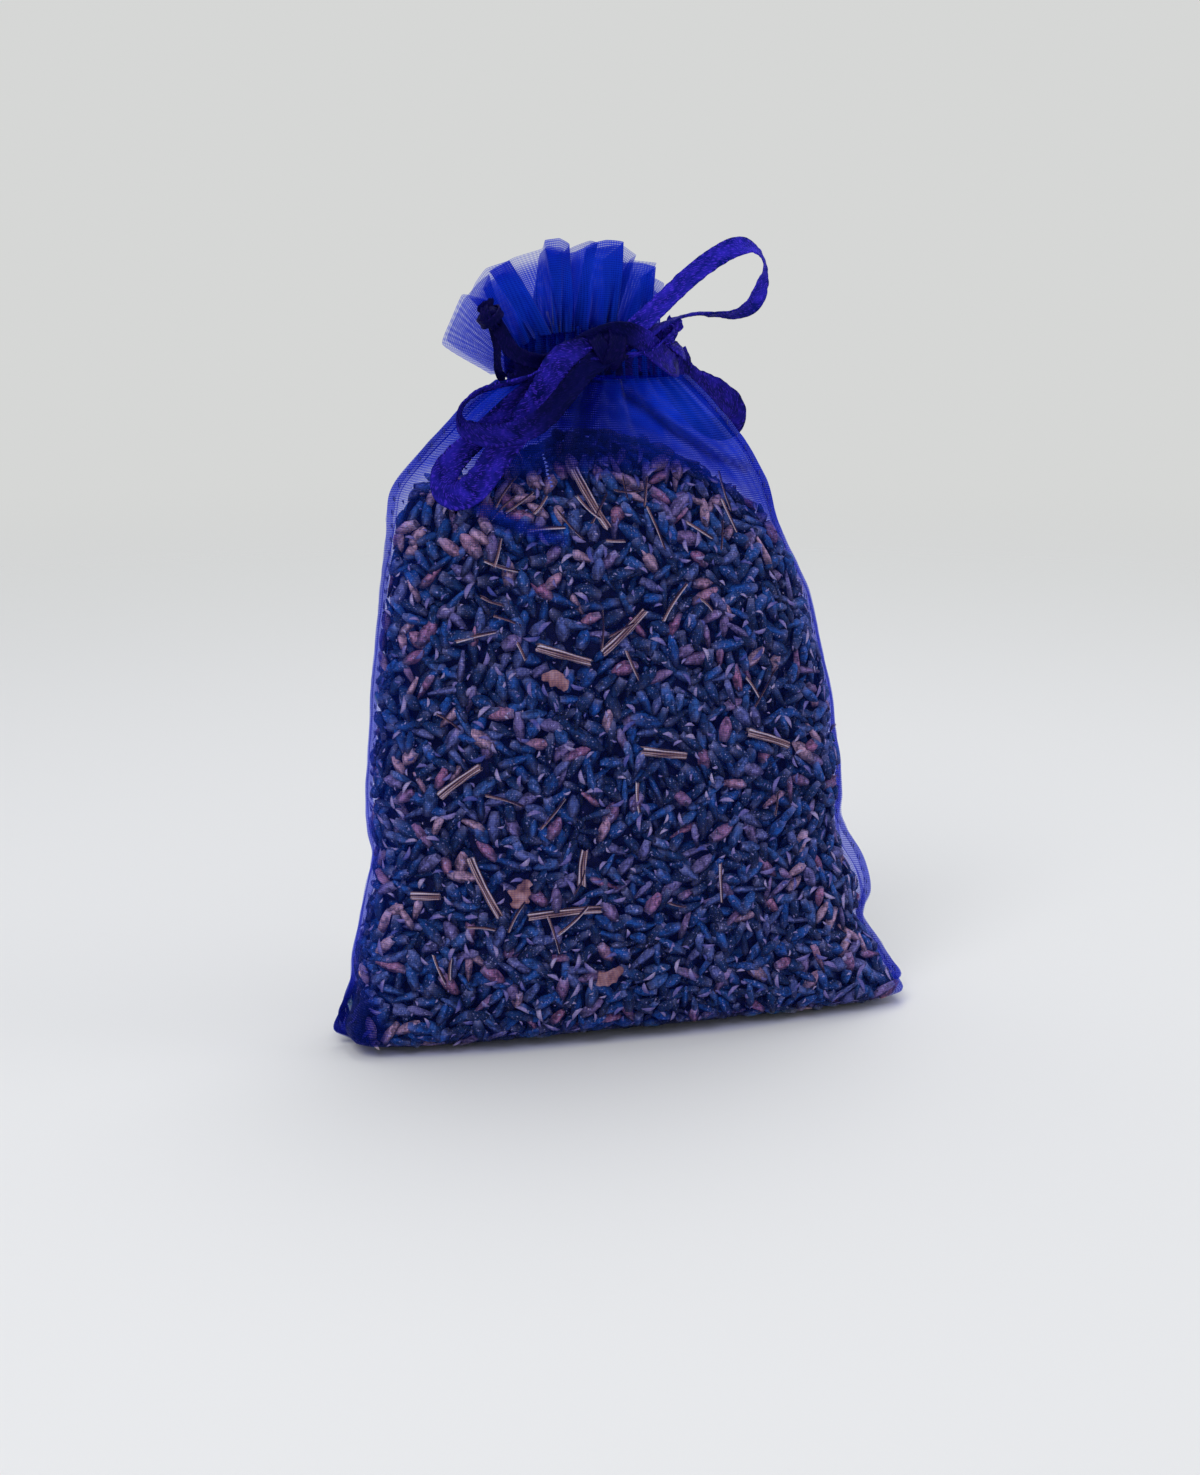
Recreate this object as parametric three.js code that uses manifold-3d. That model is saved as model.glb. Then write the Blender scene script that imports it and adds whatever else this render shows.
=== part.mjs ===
// A lavender sachet: a see-through drawstring pouch of organza, filled with dried lavender and tied in a bow.
// Millimetres, +Z up. The front faces -Y, the pouch stands on z = 0, and the origin is its base's middle.
import * as THREE from "three";
import { mergeVertices } from "three/addons/utils/BufferGeometryUtils.js";
import Module from "manifold-3d";

// Pouch
const cornerHalfWidth = 51;
const neckHeight = 108.5;
const bellyHalfDepth = 17;
const baseHalfDepth = 8;
const clothThickness = 0.4;
const clearance = 0.3;
const emptyMargin = 3;
const finHalfGap = 0.15;
const cornerLift = 1.2;
const gatherDepth = 0.9;

// Seams
const sideSeamWidth = 2.4;
const sideSeamThickness = 1.1;
const bottomSeamWidth = 1.6;
const bottomSeamThickness = 0.6;

// Neck, its drawstring channel and the ruffled header above it
const neckCentreX = -7;
const channelHalfWidth = 13.5;
const channelHalfDepth = 5;
const channelRibDepth = 0.6;
const headerRise = 15;
const headerReach = 24;
const headerInset = 1.5;
const pleatDepth = 3.6;
const headerThickness = 0.5;

// Satin ribbon, the bow's knot and the knots at the ribbons' ends
const ribbonWidth = 3;
const ribbonThickness = 0.5;
const bowKnotHalfWidth = 3.8;
const bowKnotHalfDepth = 2.6;
const bowKnotHalfHeight = 3.2;
const bowKnotX = -4.8;
const archRise = 2;
const endKnotRadius = 1.9;
const endTipRadius = 1.5;
const endTipLength = 1.9;
const loopRootGap = 0.5;

// Dried lavender and what is mixed in with it
const lumpDepth = 0.8;
const stalkRadius = 0.65;
const stalkLength = 11;
const scrapHalfLength = 2.6;
const scrapHalfWidth = 1.9;
const scrapHalfThickness = 0.5;

// Counts
const bellyColumns = 22;
const fillColumns = 36;
const fillRows = 17;
const channelRibs = 16;
const samplesPerRib = 4;
const channelRows = 4;
const pleats = 7;
const samplesPerPleat = 4;
const headerRows = 4;
const bandSteps = 40;
const gathers = 7;

// What follows from the sizes above
const channelBottom = neckHeight + clothThickness / 2 + clearance;
const channelHeight = 2 * ribbonWidth + 3 * clearance;
const channelTop = channelBottom + channelHeight;
const bandInnerHalfWidth = channelHalfWidth + clearance;
const bandInnerHalfDepth = channelHalfDepth + clearance;
const bowKnotY = -(bandInnerHalfDepth + ribbonThickness + clearance + bowKnotHalfDepth);
const bowKnotZ = (channelBottom + channelTop) / 2 + ribbonWidth / 3;
const fillInset = clothThickness / 2 + 1.5 * clearance;
const fillBottom = bottomSeamThickness + clearance;

// Rows of the pouch from the rim of its base up to the neck. Each has its height as a share of neckHeight,
// the left and right outline as shares of cornerHalfWidth, the depth as a share of bellyHalfDepth, and the
// flat margin as a share of emptyMargin.
const rowShares = [
  [0.024, 1.0, 1.0, 0.74, 2.0],
  [0.055, 0.98, 0.935, 0.86, 1.5],
  [0.095, 0.942, 0.89, 0.93, 1.2],
  [0.135, 0.935, 0.837, 0.97, 1.0],
  [0.175, 0.917, 0.855, 1.0, 1.1],
  [0.23, 0.89, 0.828, 1.0, 1.0],
  [0.3, 0.868, 0.75, 0.98, 0.9],
  [0.335, 0.88, 0.75, 0.97, 1.0],
  [0.4, 0.878, 0.745, 0.95, 1.0],
  [0.48, 0.863, 0.71, 0.93, 1.0],
  [0.56, 0.85, 0.67, 0.9, 1.0],
  [0.64, 0.836, 0.63, 0.86, 1.0],
  [0.71, 0.818, 0.575, 0.8, 1.0],
  [0.78, 0.8, 0.505, 0.73, 1.0],
  [0.84, 0.778, 0.46, 0.64, 1.0],
  [0.89, 0.7, 0.4, 0.55, 0.9],
  [0.935, 0.61, 0.325, 0.46, 0.8],
  [0.97, 0.53, 0.255, 0.38, 0.7],
  [1.0, 0.44, 0.19, 0.32, 0.6],
];
const baseRowShares = [0, 0.93, 0.93, baseHalfDepth / bellyHalfDepth, 2.1];
const liftStartShare = 0.78;
const fillTopShares = [
  [-0.8, 0.84],
  [-0.4, 0.875],
  [-0.1, 0.91],
  [0.2, 0.84],
  [0.5, 0.78],
];
const wideLumps = 5;
const narrowLumps = 9;
const domeStartShare = 0.72;
const domeEndShare = 1.02;
const gatherStartShare = 0.8;

// The header's edge from left to right: shares of headerReach from the neck's middle, and of headerRise
const headerEdgeShares = [
  [-0.76, -0.4],
  [-1.02, -0.14],
  [-0.9, 0.3],
  [-0.75, 0.56],
  [-0.54, 0.74],
  [-0.29, 0.89],
  [-0.03, 0.88],
  [0.2, 0.87],
  [0.42, 0.64],
  [0.5, 0.42],
];
const headerFlareShare = 0.7;
const headerDroopShare = 3;
const headerFootDepthShare = 0.75;
const headerEdgeDepthShare = 0.35;

// Stalks and scraps under the front cloth: centre as shares of cornerHalfWidth and neckHeight, slope in
// degrees, and length as a share of stalkLength or scrapHalfLength
const stalkShares = [
  [-0.31, 0.222, 3, 1.05],
  [-0.105, 0.64, 41, 0.85],
  [-0.3, 0.61, -18, 0.8],
  [-0.63, 0.425, 38, 0.75],
  [-0.56, 0.265, -66, 0.95],
  [-0.74, 0.25, 3, 0.45],
  [-0.25, 0.29, 84, 0.5],
  [-0.19, 0.835, -62, 0.95],
  [0.02, 0.455, -10, 0.7],
  [0.4, 0.46, -22, 0.8],
];
const scrapShares = [
  [-0.16, 0.115, 30, 1.0],
  [-0.33, 0.572, -30, 0.9],
  [-0.45, 0.255, 60, 1.0],
];

// Routes of the ribbons: x, y, z and the turn of the ribbon about its own line, in degrees
const leftFrontRoute = [
  [-5.2, -9.6, 113, 80],
  [-8.2, -9.9, 112.4, 80],
  [-11.4, -9.9, 111.9, 78],
  [-14.4, -9.9, 111.3, 70],
  [-17.6, -9.9, 110.3, 55],
  [-20.8, -9.9, 109.1, 40],
  [-23.8, -9.9, 107.8, 30],
  [-26.8, -9.9, 106.4, 20],
  [-29, -10, 104.8, 10],
  [-30, -10.3, 103, 25],
  [-29, -10.7, 101.5, 55],
  [-26.4, -11, 100.8, 75],
  [-23.2, -11.3, 100.8, 85],
  [-20, -11.5, 101.2, 88],
  [-16.8, -11.6, 102.6, 88],
  [-14, -11.6, 104.8, 88],
  [-12, -11.6, 107.4, 88],
  [-10.4, -11.5, 109.8, 88],
  [-8.4, -11.2, 111.8, 88],
  [-5.4, -10.4, 113.2, 85],
];
const leftHangingRoute = [
  [-5.2, -8, 112.2, 80],
  [-8.2, -7.9, 110.2, 80],
  [-11.4, -7.9, 108.4, 80],
  [-14.6, -8, 106.6, 80],
  [-17.8, -8.1, 104.6, 80],
  [-21.2, -8.2, 102.2, 80],
  [-24.6, -8.2, 99.8, 80],
  [-28, -8.2, 97.4, 80],
  [-30.8, -8.3, 95, 80],
  [-31.4, -8.6, 92.6, 84],
  [-29.6, -9, 91.2, 88],
  [-27.2, -9.3, 91.8, 88],
  [-25.2, -9.4, 94, 88],
  [-23, -9.4, 96.8, 88],
  [-20.6, -9.4, 99.6, 88],
  [-17.8, -9.3, 102.4, 88],
  [-14.6, -9.2, 105, 88],
  [-11.2, -9.1, 107.6, 88],
  [-8.2, -9, 109.8, 88],
  [-5.2, -8.8, 111.8, 88],
];
const rightUpperRoute = [
  [-4.2, -9.2, 113.6, 85],
  [-1.8, -9.5, 116.4, 85],
  [1.2, -9.7, 119.4, 85],
  [4.4, -9.7, 122.3, 85],
  [7.8, -9.5, 125, 85],
  [11.2, -9.1, 127.4, 80],
  [14.2, -8.7, 128.6, 65],
  [16.8, -8.3, 128.3, 30],
  [18.4, -8, 126.8, 0],
  [19.2, -7.8, 124.8, -20],
  [19, -7.7, 122.4, -50],
  [17.6, -7.8, 120.2, -75],
  [15, -8, 118.8, -85],
  [12, -8.3, 118.3, -80],
  [8.8, -8.6, 118.6, -50],
  [5.8, -8.8, 118.5, -25],
  [2.8, -8.9, 117.4, -45],
  [0, -8.7, 115.6, -70],
  [-3.2, -8.2, 113.4, -80],
];
const rightRearRoute = [
  [8.4, 1.2, 112.2, 90],
  [9.4, 2.3, 110.9, 85],
  [10.6, 3.4, 109, 75],
  [12.8, 4.4, 107.2, 70],
  [15.2, 5, 105.9, 70],
  [17.4, 5.4, 104.6, 70],
  [19.4, 5.9, 103, 70],
  [20.2, 6.4, 101, 75],
  [19.2, 7, 99.4, 80],
  [17, 7.5, 99, 85],
  [14.4, 7.8, 100.4, 85],
  [12, 7.7, 102.8, 85],
  [9.8, 7, 105.4, 80],
  [8.4, 6, 107.8, 80],
  [7.7, 5, 109.6, 85],
  [7.4, 4, 111, 90],
];
const leftTailRearRoute = [
  [-21.9, -3, 110.8, 60],
  [-22.9, -4.6, 110, 55],
  [-23.8, -5.9, 110.2, 45],
  [-24.4, -6.6, 111.6, 35],
  [-24.7, -7, 113.4, 35],
  [-24.9, -7.3, 115.2, 40],
  [-25.2, -7.7, 117, 60],
  [-25.5, -8.1, 119, 80],
];
const leftTailFrontRoute = [
  [-5.2, -7.4, 114, 80],
  [-8.2, -7.1, 114.2, 80],
  [-11, -7, 114, 80],
  [-14, -7.4, 113.4, 80],
  [-16.8, -8.1, 112.9, 75],
  [-19.4, -9, 113.1, 70],
  [-21.4, -9.7, 114.2, 70],
  [-22.9, -10, 115.9, 75],
  [-24, -9.9, 117.6, 80],
  [-25, -9.5, 119.2, 80],
];
const rightTailRearRoute = [
  [8.3, -0.8, 112.4, 20],
  [8, -2.8, 112.6, 20],
  [6.8, -4.6, 113.5, 30],
  [5, -5.8, 114.9, 40],
  [3.4, -6.4, 116.2, 40],
];
const rightTailFrontRoute = [
  [-4, -7.8, 112, 10],
  [-1.2, -7.7, 112, 10],
  [1.2, -7.4, 113, 10],
  [2.8, -6.9, 114.6, 10],
  [3.4, -6.4, 116.2, 10],
];
const leftEndKnotPlace = [-25.4, -8.8, 119.4];
const leftEndTipWay = [-0.35, -0.1, 1];
const rightEndKnotPlace = [3.6, -6.4, 116.2];
const rightEndTipWay = [0.74, 0.3, 0.6];

// Profile of an end knot below its waist: radius and height as shares of the knot's radius
const endKnotShares = [
  [0, -1],
  [0.71, -0.71],
  [1, 0],
  [0.8, 0.6],
];
const endWaistShare = 1.02;

const wasm = await Module();
wasm.setup();
const { Manifold, Mesh: SolidMesh } = wasm;

const materials = {
  organza: new THREE.MeshStandardMaterial({ color: "#4a45c8", roughness: 0.5, metalness: 0.1 }),
  seam: new THREE.MeshStandardMaterial({ color: "#3a36b4", roughness: 0.7, metalness: 0 }),
  gather: new THREE.MeshStandardMaterial({ color: "#1a158c", roughness: 0.6, metalness: 0 }),
  ribbon: new THREE.MeshStandardMaterial({ color: "#28149a", roughness: 0.35, metalness: 0.1 }),
  thread: new THREE.MeshStandardMaterial({ color: "#5a6ad8", roughness: 0.6, metalness: 0 }),
  lavender: new THREE.MeshStandardMaterial({ color: "#28336a", roughness: 0.9, metalness: 0 }),
  stalk: new THREE.MeshStandardMaterial({ color: "#be968c", roughness: 0.85, metalness: 0 }),
};

const sachet = new THREE.Group();

function addPiece(name, geometry, material) {
  const mesh = new THREE.Mesh(geometry, material);
  mesh.name = name;
  sachet.add(mesh);
}

// A closed mesh from points and triangles, turned so that its faces point out
function closedGeometry(points, triangles) {
  let sixVolumes = 0;
  const normal = new THREE.Vector3();
  for (const [a, b, c] of triangles) sixVolumes += points[a].dot(normal.crossVectors(points[b], points[c]));
  const index = triangles.flatMap(([a, b, c]) => (sixVolumes > 0 ? [a, b, c] : [a, c, b]));
  const geometry = new THREE.BufferGeometry();
  geometry.setAttribute("position", new THREE.Float32BufferAttribute(points.flatMap((p) => p.toArray()), 3));
  geometry.setIndex(index);
  geometry.computeVertexNormals();
  return geometry;
}

function pushQuad(triangles, a, b, c, d) {
  triangles.push([a, b, c], [a, c, d]);
}

// Rings of points joined in order. A looped loft joins its last ring to its first, and an open one gets a
// cap at each end round the middle of that ring.
function loft(rings, looped = false) {
  const points = rings.flat();
  const size = rings[0].length;
  const triangles = [];
  const spans = looped ? rings.length : rings.length - 1;
  for (let ring = 0; ring < spans; ring++) {
    const here = ring * size;
    const next = ((ring + 1) % rings.length) * size;
    for (let side = 0; side < size; side++) {
      const after = (side + 1) % size;
      pushQuad(triangles, here + side, here + after, next + after, next + side);
    }
  }
  if (looped) return closedGeometry(points, triangles);
  for (const [ring, first] of [[rings[0], 0], [rings.at(-1), points.length - size]]) {
    const middle = new THREE.Vector3();
    for (const point of ring) middle.addScaledVector(point, 1 / size);
    const hub = points.push(middle) - 1;
    for (let side = 0; side < size; side++) {
      const after = (side + 1) % size;
      triangles.push(first ? [hub, first + side, first + after] : [hub, after, side]);
    }
  }
  return closedGeometry(points, triangles);
}

// A grid of points made a sheet of the given thickness, half of it on each side. Its first two rows stay
// above the floor.
function thickSheet(grid, thickness, floor = -Infinity) {
  const rows = grid.length;
  const columns = grid[0].length;
  const faceNormals = grid.map((row) => row.map(() => []));
  for (let i = 0; i < rows - 1; i++) {
    for (let j = 0; j < columns - 1; j++) {
      const across = grid[i][j + 1].clone().sub(grid[i][j]).add(grid[i + 1][j + 1]).sub(grid[i + 1][j]);
      const along = grid[i + 1][j].clone().sub(grid[i][j]).add(grid[i + 1][j + 1]).sub(grid[i][j + 1]);
      const normal = across.cross(along).normalize();
      for (const [di, dj] of [[0, 0], [0, 1], [1, 0], [1, 1]]) faceNormals[i + di][j + dj].push(normal);
    }
  }
  const leastMitreShare = 0.6;
  const offset = (i, j, side) => {
    const mean = new THREE.Vector3();
    for (const normal of faceNormals[i][j]) mean.add(normal);
    mean.normalize();
    const fits = faceNormals[i][j].map((normal) => mean.dot(normal));
    const reach = (side * thickness) / 2 / Math.max(Math.min(...fits), leastMitreShare);
    const point = grid[i][j].clone().addScaledVector(mean, reach);
    if (i <= 1) point.z = Math.max(point.z, floor);
    return point;
  };
  const points = [];
  for (const side of [1, -1]) {
    for (let i = 0; i < rows; i++) {
      for (let j = 0; j < columns; j++) points.push(offset(i, j, side));
    }
  }
  const at = (i, j, back) => (back ? rows * columns : 0) + i * columns + j;
  const triangles = [];
  for (let i = 0; i < rows - 1; i++) {
    for (let j = 0; j < columns - 1; j++) {
      pushQuad(triangles, at(i, j), at(i, j + 1), at(i + 1, j + 1), at(i + 1, j));
      pushQuad(triangles, at(i, j, 1), at(i + 1, j, 1), at(i + 1, j + 1, 1), at(i, j + 1, 1));
    }
  }
  const rim = [];
  for (let j = 0; j < columns; j++) rim.push([0, j]);
  for (let i = 1; i < rows; i++) rim.push([i, columns - 1]);
  for (let j = columns - 2; j >= 0; j--) rim.push([rows - 1, j]);
  for (let i = rows - 2; i > 0; i--) rim.push([i, 0]);
  rim.forEach(([i, j], step) => {
    const [k, l] = rim[(step + 1) % rim.length];
    pushQuad(triangles, at(k, l), at(i, j), at(i, j, 1), at(k, l, 1));
  });
  return closedGeometry(points, triangles);
}

function lerpTable(table, x, column) {
  const last = table.length - 1;
  if (x <= table[0][0]) return table[0][column];
  if (x >= table[last][0]) return table[last][column];
  const k = table.findIndex((row) => row[0] > x);
  const [low, high] = [table[k - 1], table[k]];
  return THREE.MathUtils.lerp(low[column], high[column], (x - low[0]) / (high[0] - low[0]));
}

// The pouch at one height: its outer edges, the edges of its round belly and that belly's half depth
const outlineTable = [baseRowShares, ...rowShares];
function outlineAt(height) {
  const share = height / neckHeight;
  const left = -lerpTable(outlineTable, share, 1) * cornerHalfWidth;
  const right = lerpTable(outlineTable, share, 2) * cornerHalfWidth;
  const depth = lerpTable(outlineTable, share, 3) * bellyHalfDepth;
  const margin = lerpTable(outlineTable, share, 4) * emptyMargin;
  const seam = sideSeamWidth + clearance;
  const [bellyLeft, bellyRight] = [left + seam + margin, right - seam - margin];
  return {
    left,
    right,
    clothLeft: left + seam,
    clothRight: right - seam,
    middle: (bellyLeft + bellyRight) / 2,
    halfWidth: (bellyRight - bellyLeft) / 2,
    depth,
  };
}

function liftAt(x) {
  const liftStart = liftStartShare * cornerHalfWidth;
  return cornerLift * THREE.MathUtils.smoothstep(Math.abs(x), liftStart, cornerHalfWidth);
}

// One row of a panel's middle surface, from its left cloth edge to its right one. facing is -1 on the front.
function panelRow(height, facing, base, edgeY, depthLimit) {
  const outline = outlineAt(base ? 0 : height);
  const depth = depthLimit ?? outline.depth;
  const place = (x, y) => new THREE.Vector3(x, facing * y, base ? height + liftAt(x) : height);
  const row = [place(outline.clothLeft, edgeY)];
  const gathered = THREE.MathUtils.smoothstep(height / neckHeight, gatherStartShare, 1);
  for (let step = 0; step <= bellyColumns; step++) {
    const turn = Math.PI * (step / bellyColumns - 0.5);
    const ripple = gatherDepth * gathered * Math.cos(2 * gathers * turn) * Math.cos(turn);
    const x = outline.middle + outline.halfWidth * Math.sin(turn);
    row.push(place(x, edgeY + (depth - edgeY) * Math.cos(turn) - Math.max(ripple, 0)));
  }
  row.push(place(outline.clothRight, edgeY));
  return row;
}

function panel(facing) {
  const finY = finHalfGap + clothThickness / 2;
  const seamEdgeY = bottomSeamWidth / 2 + clothThickness / 2 + 2 * clearance;
  const floorZ = clothThickness / 2;
  const grid = [
    panelRow(floorZ, facing, true, seamEdgeY, seamEdgeY),
    panelRow(floorZ, facing, true, seamEdgeY, baseHalfDepth),
  ];
  for (const [share] of rowShares) grid.push(panelRow(share * neckHeight, facing, false, finY));
  return thickSheet(grid, clothThickness, 0);
}

function sideSeam(side) {
  const rings = rowShares.map(([share]) => {
    const z = share * neckHeight;
    const outline = outlineAt(z);
    const outer = side < 0 ? outline.left : outline.right;
    const inner = outer - side * sideSeamWidth;
    const y = sideSeamThickness / 2;
    const corners = [[outer, -y], [outer, y], [inner, y], [inner, -y]];
    return corners.map(([x, depth]) => new THREE.Vector3(x, depth, z));
  });
  return loft(rings);
}

function bottomSeam() {
  const reach = cornerHalfWidth - sideSeamWidth + clearance;
  const spans = 16;
  const y = bottomSeamWidth / 2;
  const rings = [];
  for (let step = 0; step <= spans; step++) {
    const x = reach * (2 * step / spans - 1);
    const low = liftAt(x);
    const high = low + bottomSeamThickness;
    const corners = [[-y, low], [y, low], [y, high], [-y, high]];
    rings.push(corners.map(([depth, z]) => new THREE.Vector3(x, depth, z)));
  }
  return loft(rings);
}

// The heap of lavender inside, a rounded lens with low lumps and a crown that falls away to the right
function lavenderHeap() {
  const crownTop = lerpTable(fillTopShares, -0.1, 1) * neckHeight;
  const rings = [];
  for (let row = 0; row <= fillRows; row++) {
    const rise = row / fillRows;
    const level = fillBottom + rise * (crownTop - fillBottom);
    const outline = outlineAt(level);
    const falling = Math.max(0, (rise - domeStartShare) / (domeEndShare - domeStartShare));
    const dome = Math.sqrt(1 - falling * falling);
    const ring = [];
    for (let step = 0; step < fillColumns; step++) {
      const turn = (2 * Math.PI * step) / fillColumns;
      const wave = Math.sin(narrowLumps * turn + 2 * row) * Math.sin(wideLumps * turn - 2 * row);
      const inset = fillInset + ((lumpDepth * (1 + wave)) / 2) * dome;
      const x = outline.middle + (outline.halfWidth - inset) * dome * Math.sin(turn);
      const top = lerpTable(fillTopShares, x / cornerHalfWidth, 1) * neckHeight;
      const z = fillBottom + rise * (top - fillBottom);
      const baseDepth = baseHalfDepth - clothThickness / 2 - clearance;
      const depth = row === 0 ? baseDepth : outlineAt(z).depth - inset;
      ring.push(new THREE.Vector3(x, -depth * dome * Math.cos(turn), z));
    }
    rings.push(ring);
  }
  return loft(rings);
}

// Inner face of the front cloth at a place on the belly
function innerFrontY(x, z) {
  const outline = outlineAt(z);
  const share = THREE.MathUtils.clamp((x - outline.middle) / outline.halfWidth, -1, 1);
  return -(outline.depth * Math.sqrt(1 - share * share) - clothThickness / 2);
}

// Lays a shape under the front cloth, its X along the slope given and its Y across the cloth
function laidUnderCloth(geometry, [xShare, zShare, slope], halfThickness) {
  const [x, z] = [xShare * cornerHalfWidth, zShare * neckHeight];
  const probe = 2 * stalkRadius;
  const slant = (dx, dz) => (innerFrontY(x + dx, z + dz) - innerFrontY(x - dx, z - dz)) / (2 * probe);
  const acrossWay = new THREE.Vector3(1, slant(probe, 0), 0);
  const upWay = new THREE.Vector3(0, slant(0, probe), 1);
  const angle = THREE.MathUtils.degToRad(slope);
  const lengthWay = acrossWay.clone().multiplyScalar(Math.cos(angle));
  lengthWay.addScaledVector(upWay, Math.sin(angle)).normalize();
  const inward = new THREE.Vector3().crossVectors(upWay, acrossWay).normalize();
  const widthWay = new THREE.Vector3().crossVectors(lengthWay, inward);
  const depth = halfThickness + 1.5 * clearance;
  const place = new THREE.Vector3(x, innerFrontY(x, z), z).addScaledVector(inward, depth);
  const seat = new THREE.Matrix4().makeBasis(lengthWay, inward, widthWay).setPosition(place);
  return geometry.clone().applyMatrix4(seat);
}

function stalk(lengthShare, grow = 0) {
  const [thick, length] = [stalkRadius + grow, stalkLength * lengthShare + 2 * grow];
  const thinEndShare = 0.75;
  return new THREE.CylinderGeometry(thick * thinEndShare, thick, length, 6).rotateZ(Math.PI / 2);
}

function scrap(lengthShare, grow = 0) {
  const ball = new THREE.SphereGeometry(1, 8, 5);
  return ball.scale(scrapHalfLength * lengthShare + grow, scrapHalfThickness + grow, scrapHalfWidth + grow);
}

function asSolid(geometry) {
  const bare = geometry.clone();
  for (const name of Object.keys(bare.attributes)) if (name !== "position") bare.deleteAttribute(name);
  const merged = mergeVertices(bare);
  const vertProperties = new Float32Array(merged.attributes.position.array);
  const triVerts = new Uint32Array(merged.index.array);
  return new Manifold(new SolidMesh({ numProp: 3, vertProperties, triVerts }));
}

function asGeometry(solid) {
  const { vertProperties, triVerts } = solid.getMesh();
  const geometry = new THREE.BufferGeometry();
  geometry.setAttribute("position", new THREE.BufferAttribute(new Float32Array(vertProperties), 3));
  geometry.setIndex(new THREE.BufferAttribute(new Uint32Array(triVerts), 1));
  geometry.computeVertexNormals();
  return geometry;
}

// The gathered channel: a ribbed oval column, drawn in where the ribbons pass
function gatheredChannel() {
  const samples = channelRibs * samplesPerRib;
  const rings = [];
  for (let row = 0; row <= channelRows; row++) {
    const z = channelBottom + (channelHeight * row) / channelRows;
    const ring = [];
    for (let step = 0; step < samples; step++) {
      const turn = (2 * Math.PI * step) / samples;
      const groove = (channelRibDepth * (1 - Math.cos(channelRibs * turn))) / 2;
      const x = neckCentreX + (channelHalfWidth - groove) * Math.cos(turn);
      ring.push(new THREE.Vector3(x, (channelHalfDepth - groove) * Math.sin(turn), z));
    }
    rings.push(ring);
  }
  return loft(rings);
}

// A closed ribbon round the channel, standing off it by the clearance, that rides up by its arch in front
function neckBand(low, arch) {
  const rings = [];
  for (let step = 0; step < bandSteps; step++) {
    const turn = (2 * Math.PI * step) / bandSteps;
    const lift = low + arch * Math.max(0, -Math.sin(turn)) ** 2;
    const at = (out, z) =>
      new THREE.Vector3(
        neckCentreX + (bandInnerHalfWidth + out) * Math.cos(turn),
        (bandInnerHalfDepth + out) * Math.sin(turn),
        lift + z,
      );
    const [outer, high] = [ribbonThickness, ribbonWidth];
    rings.push([at(0, 0), at(outer, 0), at(outer, high), at(0, high)]);
  }
  return loft(rings, true);
}

// Half of the pleated header, fanned out above the channel. facing is -1 on the front.
function header(facing) {
  const columns = pleats * samplesPerPleat;
  const footHalfWidth = channelHalfWidth - headerInset;
  const nearestY = headerThickness / 2 + clearance;
  const grid = [];
  for (let row = 0; row <= headerRows; row++) {
    const rise = row / headerRows;
    const line = [];
    for (let column = 0; column <= columns; column++) {
      const across = column / columns;
      const slot = across * (headerEdgeShares.length - 1);
      const low = Math.min(Math.floor(slot), headerEdgeShares.length - 2);
      const [edgeX, edgeZ] = [0, 1].map((k) =>
        THREE.MathUtils.lerp(headerEdgeShares[low][k], headerEdgeShares[low + 1][k], slot - low),
      );
      const footX = neckCentreX + footHalfWidth * (2 * across - 1);
      const tipX = neckCentreX + headerReach * edgeX;
      const tipZ = headerRise * edgeZ;
      const bow = Math.sqrt(Math.max(0, 1 - (2 * across - 1) ** 2));
      const fullness = THREE.MathUtils.lerp(headerEdgeDepthShare, 1, bow);
      const spread = THREE.MathUtils.lerp(headerFootDepthShare, 1, rise) * pleatDepth * fullness;
      const fold = 0.5 - 0.5 * Math.cos(2 * Math.PI * pleats * across);
      const curve = tipZ < 0 ? headerDroopShare : headerFlareShare;
      const z = channelTop + clearance + headerThickness / 2 + tipZ * rise ** curve;
      line.push(new THREE.Vector3(footX + (tipX - footX) * rise, facing * (nearestY + spread * fold), z));
    }
    grid.push(line);
  }
  return thickSheet(grid, headerThickness, channelTop + clearance);
}

// A flat ribbon along a route, its width turned about the route from the way given
function ribbon(route, widthWay = new THREE.Vector3(0, 1, 0), stepsPerSpan = 2) {
  const places = route.map(([x, y, z]) => new THREE.Vector3(x, y, z));
  const curve = new THREE.CatmullRomCurve3(places, false, "centripetal");
  const steps = (route.length - 1) * stepsPerSpan;
  const rings = [];
  for (let step = 0; step <= steps; step++) {
    const place = curve.getPoint(step / steps);
    const tangent = curve.getTangent(step / steps);
    const span = Math.min(Math.floor(step / stepsPerSpan), route.length - 2);
    const turn = THREE.MathUtils.degToRad(
      THREE.MathUtils.lerp(route[span][3], route[span + 1][3], step / stepsPerSpan - span),
    );
    const flat = widthWay.clone().addScaledVector(tangent, -widthWay.dot(tangent)).normalize();
    const across = flat.clone().applyAxisAngle(tangent, turn);
    const out = new THREE.Vector3().crossVectors(tangent, across);
    const corner = (w, t) => {
      const edge = place.clone().addScaledVector(across, (w * ribbonWidth) / 2);
      return edge.addScaledVector(out, (t * ribbonThickness) / 2);
    };
    rings.push([corner(-1, -1), corner(1, -1), corner(1, 1), corner(-1, 1)]);
  }
  return loft(rings);
}

function bowKnot(grow = 0) {
  const ball = new THREE.SphereGeometry(1, 14, 9);
  ball.scale(bowKnotHalfWidth + grow, bowKnotHalfDepth + grow, bowKnotHalfHeight + grow);
  return ball.translate(bowKnotX, bowKnotY, bowKnotZ);
}

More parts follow.
